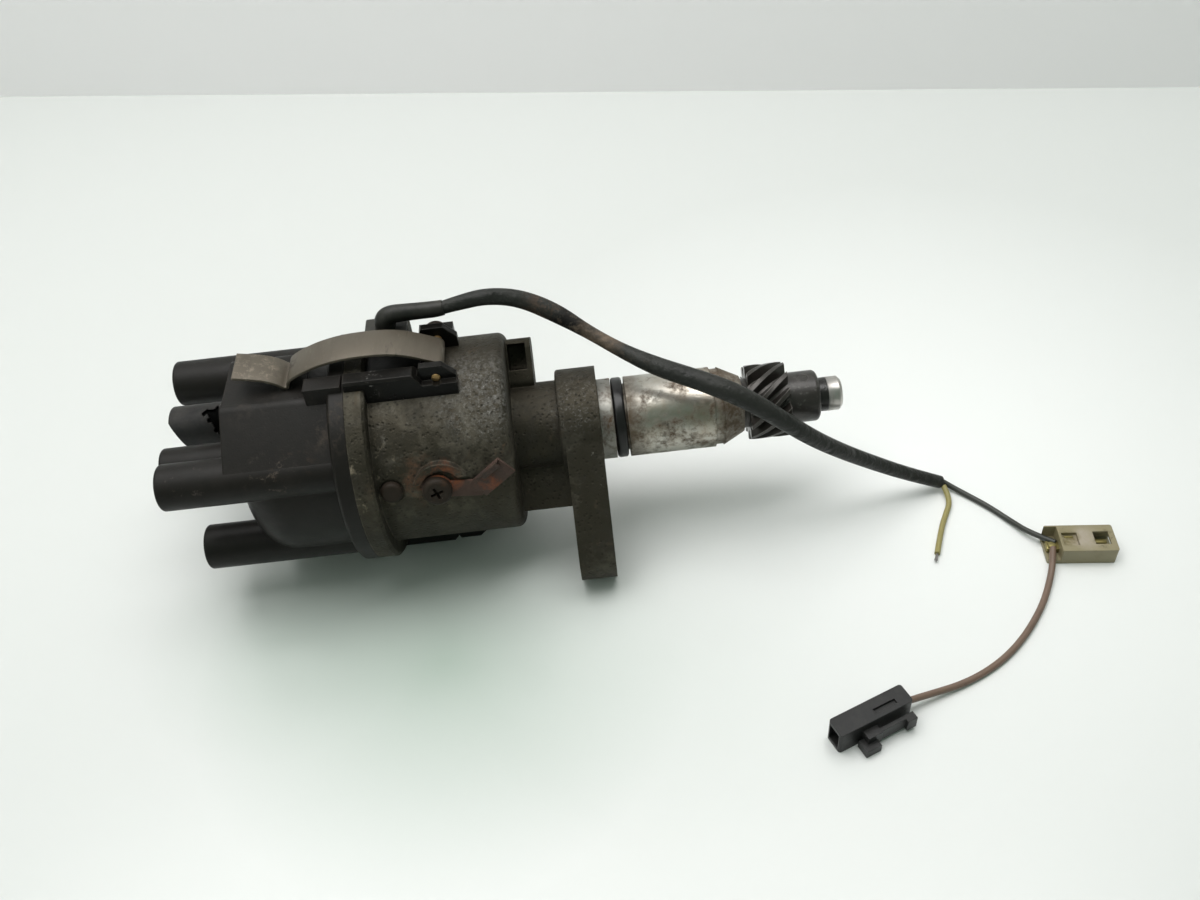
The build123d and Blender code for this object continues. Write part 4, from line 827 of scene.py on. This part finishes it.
def along_boot(start, end, radius, sides):
    """Round bar on the boot's own axis."""
    return rod((start, BOOT_Y, BOOT_Z), (end, BOOT_Y, BOOT_Z), radius, sides)


boot = along_boot(-156.95, -136.5, 8.7, 72)
slant = moved(brick((-19.4, -6.1, 0), (30, 12, 40), -62), boot_place, *view_axes)
boot = soften(carve(boot, slant), 1.7, 4)
carve(boot, along_boot(-149.4, -130, 7.85, 64), along_boot(-160, -149, 3.6, 40))
tear = brick((4.6, 0.9, 5.5), (10, 17, 13), 26)
carve(tear, brick((0, -4.4, 0), (60, 20, 60)), mode="INTERSECT")
carve(boot, moved(tear, boot_place, *view_axes))
for forward, across, wide, tall, turn in (      # ragged bites in the tear's edge
        (-3.2, 4.6, 2.6, 1.5, 38), (-1.5, 1.6, 1.8, 1.6, 12), (0.4, -2.2, 1.6, 1.3, 55), (1.9, -5.0, 2.2, 1.4, 30),
        (1.2, 5.9, 1.8, 1.2, -20)):
    carve(boot, moved(brick((forward, across, 5.5), (wide, tall, 13), turn), boot_place, *view_axes))
fit(smooth(boot, 35), "torn_boot", boot_rubber, replaces=["lead_boot_stub"])
# near-black sheet inside the torn boot: painted shade in its hollow
hollow_shade = carve(along_boot(-149.2, -136.4, 7.8, 64), along_boot(-160, -130, 7.62, 64))
fit(smooth(hollow_shade), "boot_painted_shade", painted_shade_black)

# earth tab: washer, strip and a blade bent off the casting, one edge folded
washer = carve(rod((0, 0, 0), (0, 0, 0.8), 5.2, 48), rod((0, 0, -1), (0, 0, 2), 2.0, 32))
strip = brick((8.2, -0.7, 0.4), (12.4, 6.0, 0.78), -5)
blade = join(
    "blade", brick((7.4, -0.4, 0.4), (15.6, 7.4, 0.8)), brick((9.4, 3.1, 1.3), (11.0, 0.7, 1.9)),
    brick((10.4, 2.3, 2.1), (8.0, 1.9, 0.6)))
lean = Matrix.Rotation(radians(43.7), 4, "Z") @ Matrix.Rotation(radians(-15), 4, "Y")
lean.translation = mm((12.8, -1.3, 0.02))
blade.matrix_world = lean
settle(blade)
tab = soften(join("tab", washer, strip, blade), 0.18, 2)
moved(tab, (-54.7, -32.84, 8.8), (1, 0, 0), (0, 0.2588, 0.9659), (0, -0.9659, 0.2588))
fit(smooth(tab, 35), "earth_tab", rusty_tab, replaces=["earth_terminal"])

# two brass terminals seen in the nylon plug's windows
PLUG_X, PLUG_Y, PLUG_TURN = 160.6, -45.6, -7.2


def beside_plug(along, across, height, size, turn=PLUG_TURN):
    """Block at a place in the nylon plug's own axes."""
    lie = radians(PLUG_TURN)
    return brick((PLUG_X + along * cos(lie) - across * sin(lie), PLUG_Y + along * sin(lie) + across * cos(lie),
                  floor + height), size, turn)


terminals = soften(join(
    "terminals", beside_plug(-3.6, -0.4, 4.6, (4.9, 3.0, 1.0)), beside_plug(-3.6, 1.5, 4.9, (3.0, 1.0, 1.6)),
    beside_plug(-8.6, -0.4, 2.6, (5.4, 3.6, 1.9)), beside_plug(7.0, 0.9, 3.2, (5.0, 1.6, 1.2)),
    beside_plug(-9.4, -0.6, 3.8, (2.6, 2.4, 1.0), turn=-4)), 0.25, 2)
terminals = fit(smooth(terminals), "plug_terminals", amber_brass)

# strands bared at the end of the yellow lead
strands = []
for side, rise, reach in ((-0.5, -0.2, 3.0), (-0.2, 0.3, 3.6), (0.15, -0.1, 2.6), (0.4, 0.2, 3.3), (0.0, 0.05, 3.9)):
    tip = (112.7 - 0.39 * reach + 0.92 * side, -41.0 - 0.92 * reach - 0.39 * side, floor + 1.0 + rise)
    strands.append(rod((112.9 + 0.4 * side, -40.6, floor + 1.0 + 0.5 * rise), tip, 0.17, 8))
strands = fit(smooth(join("strands", *strands)), "yellow_strands", bare_copper)
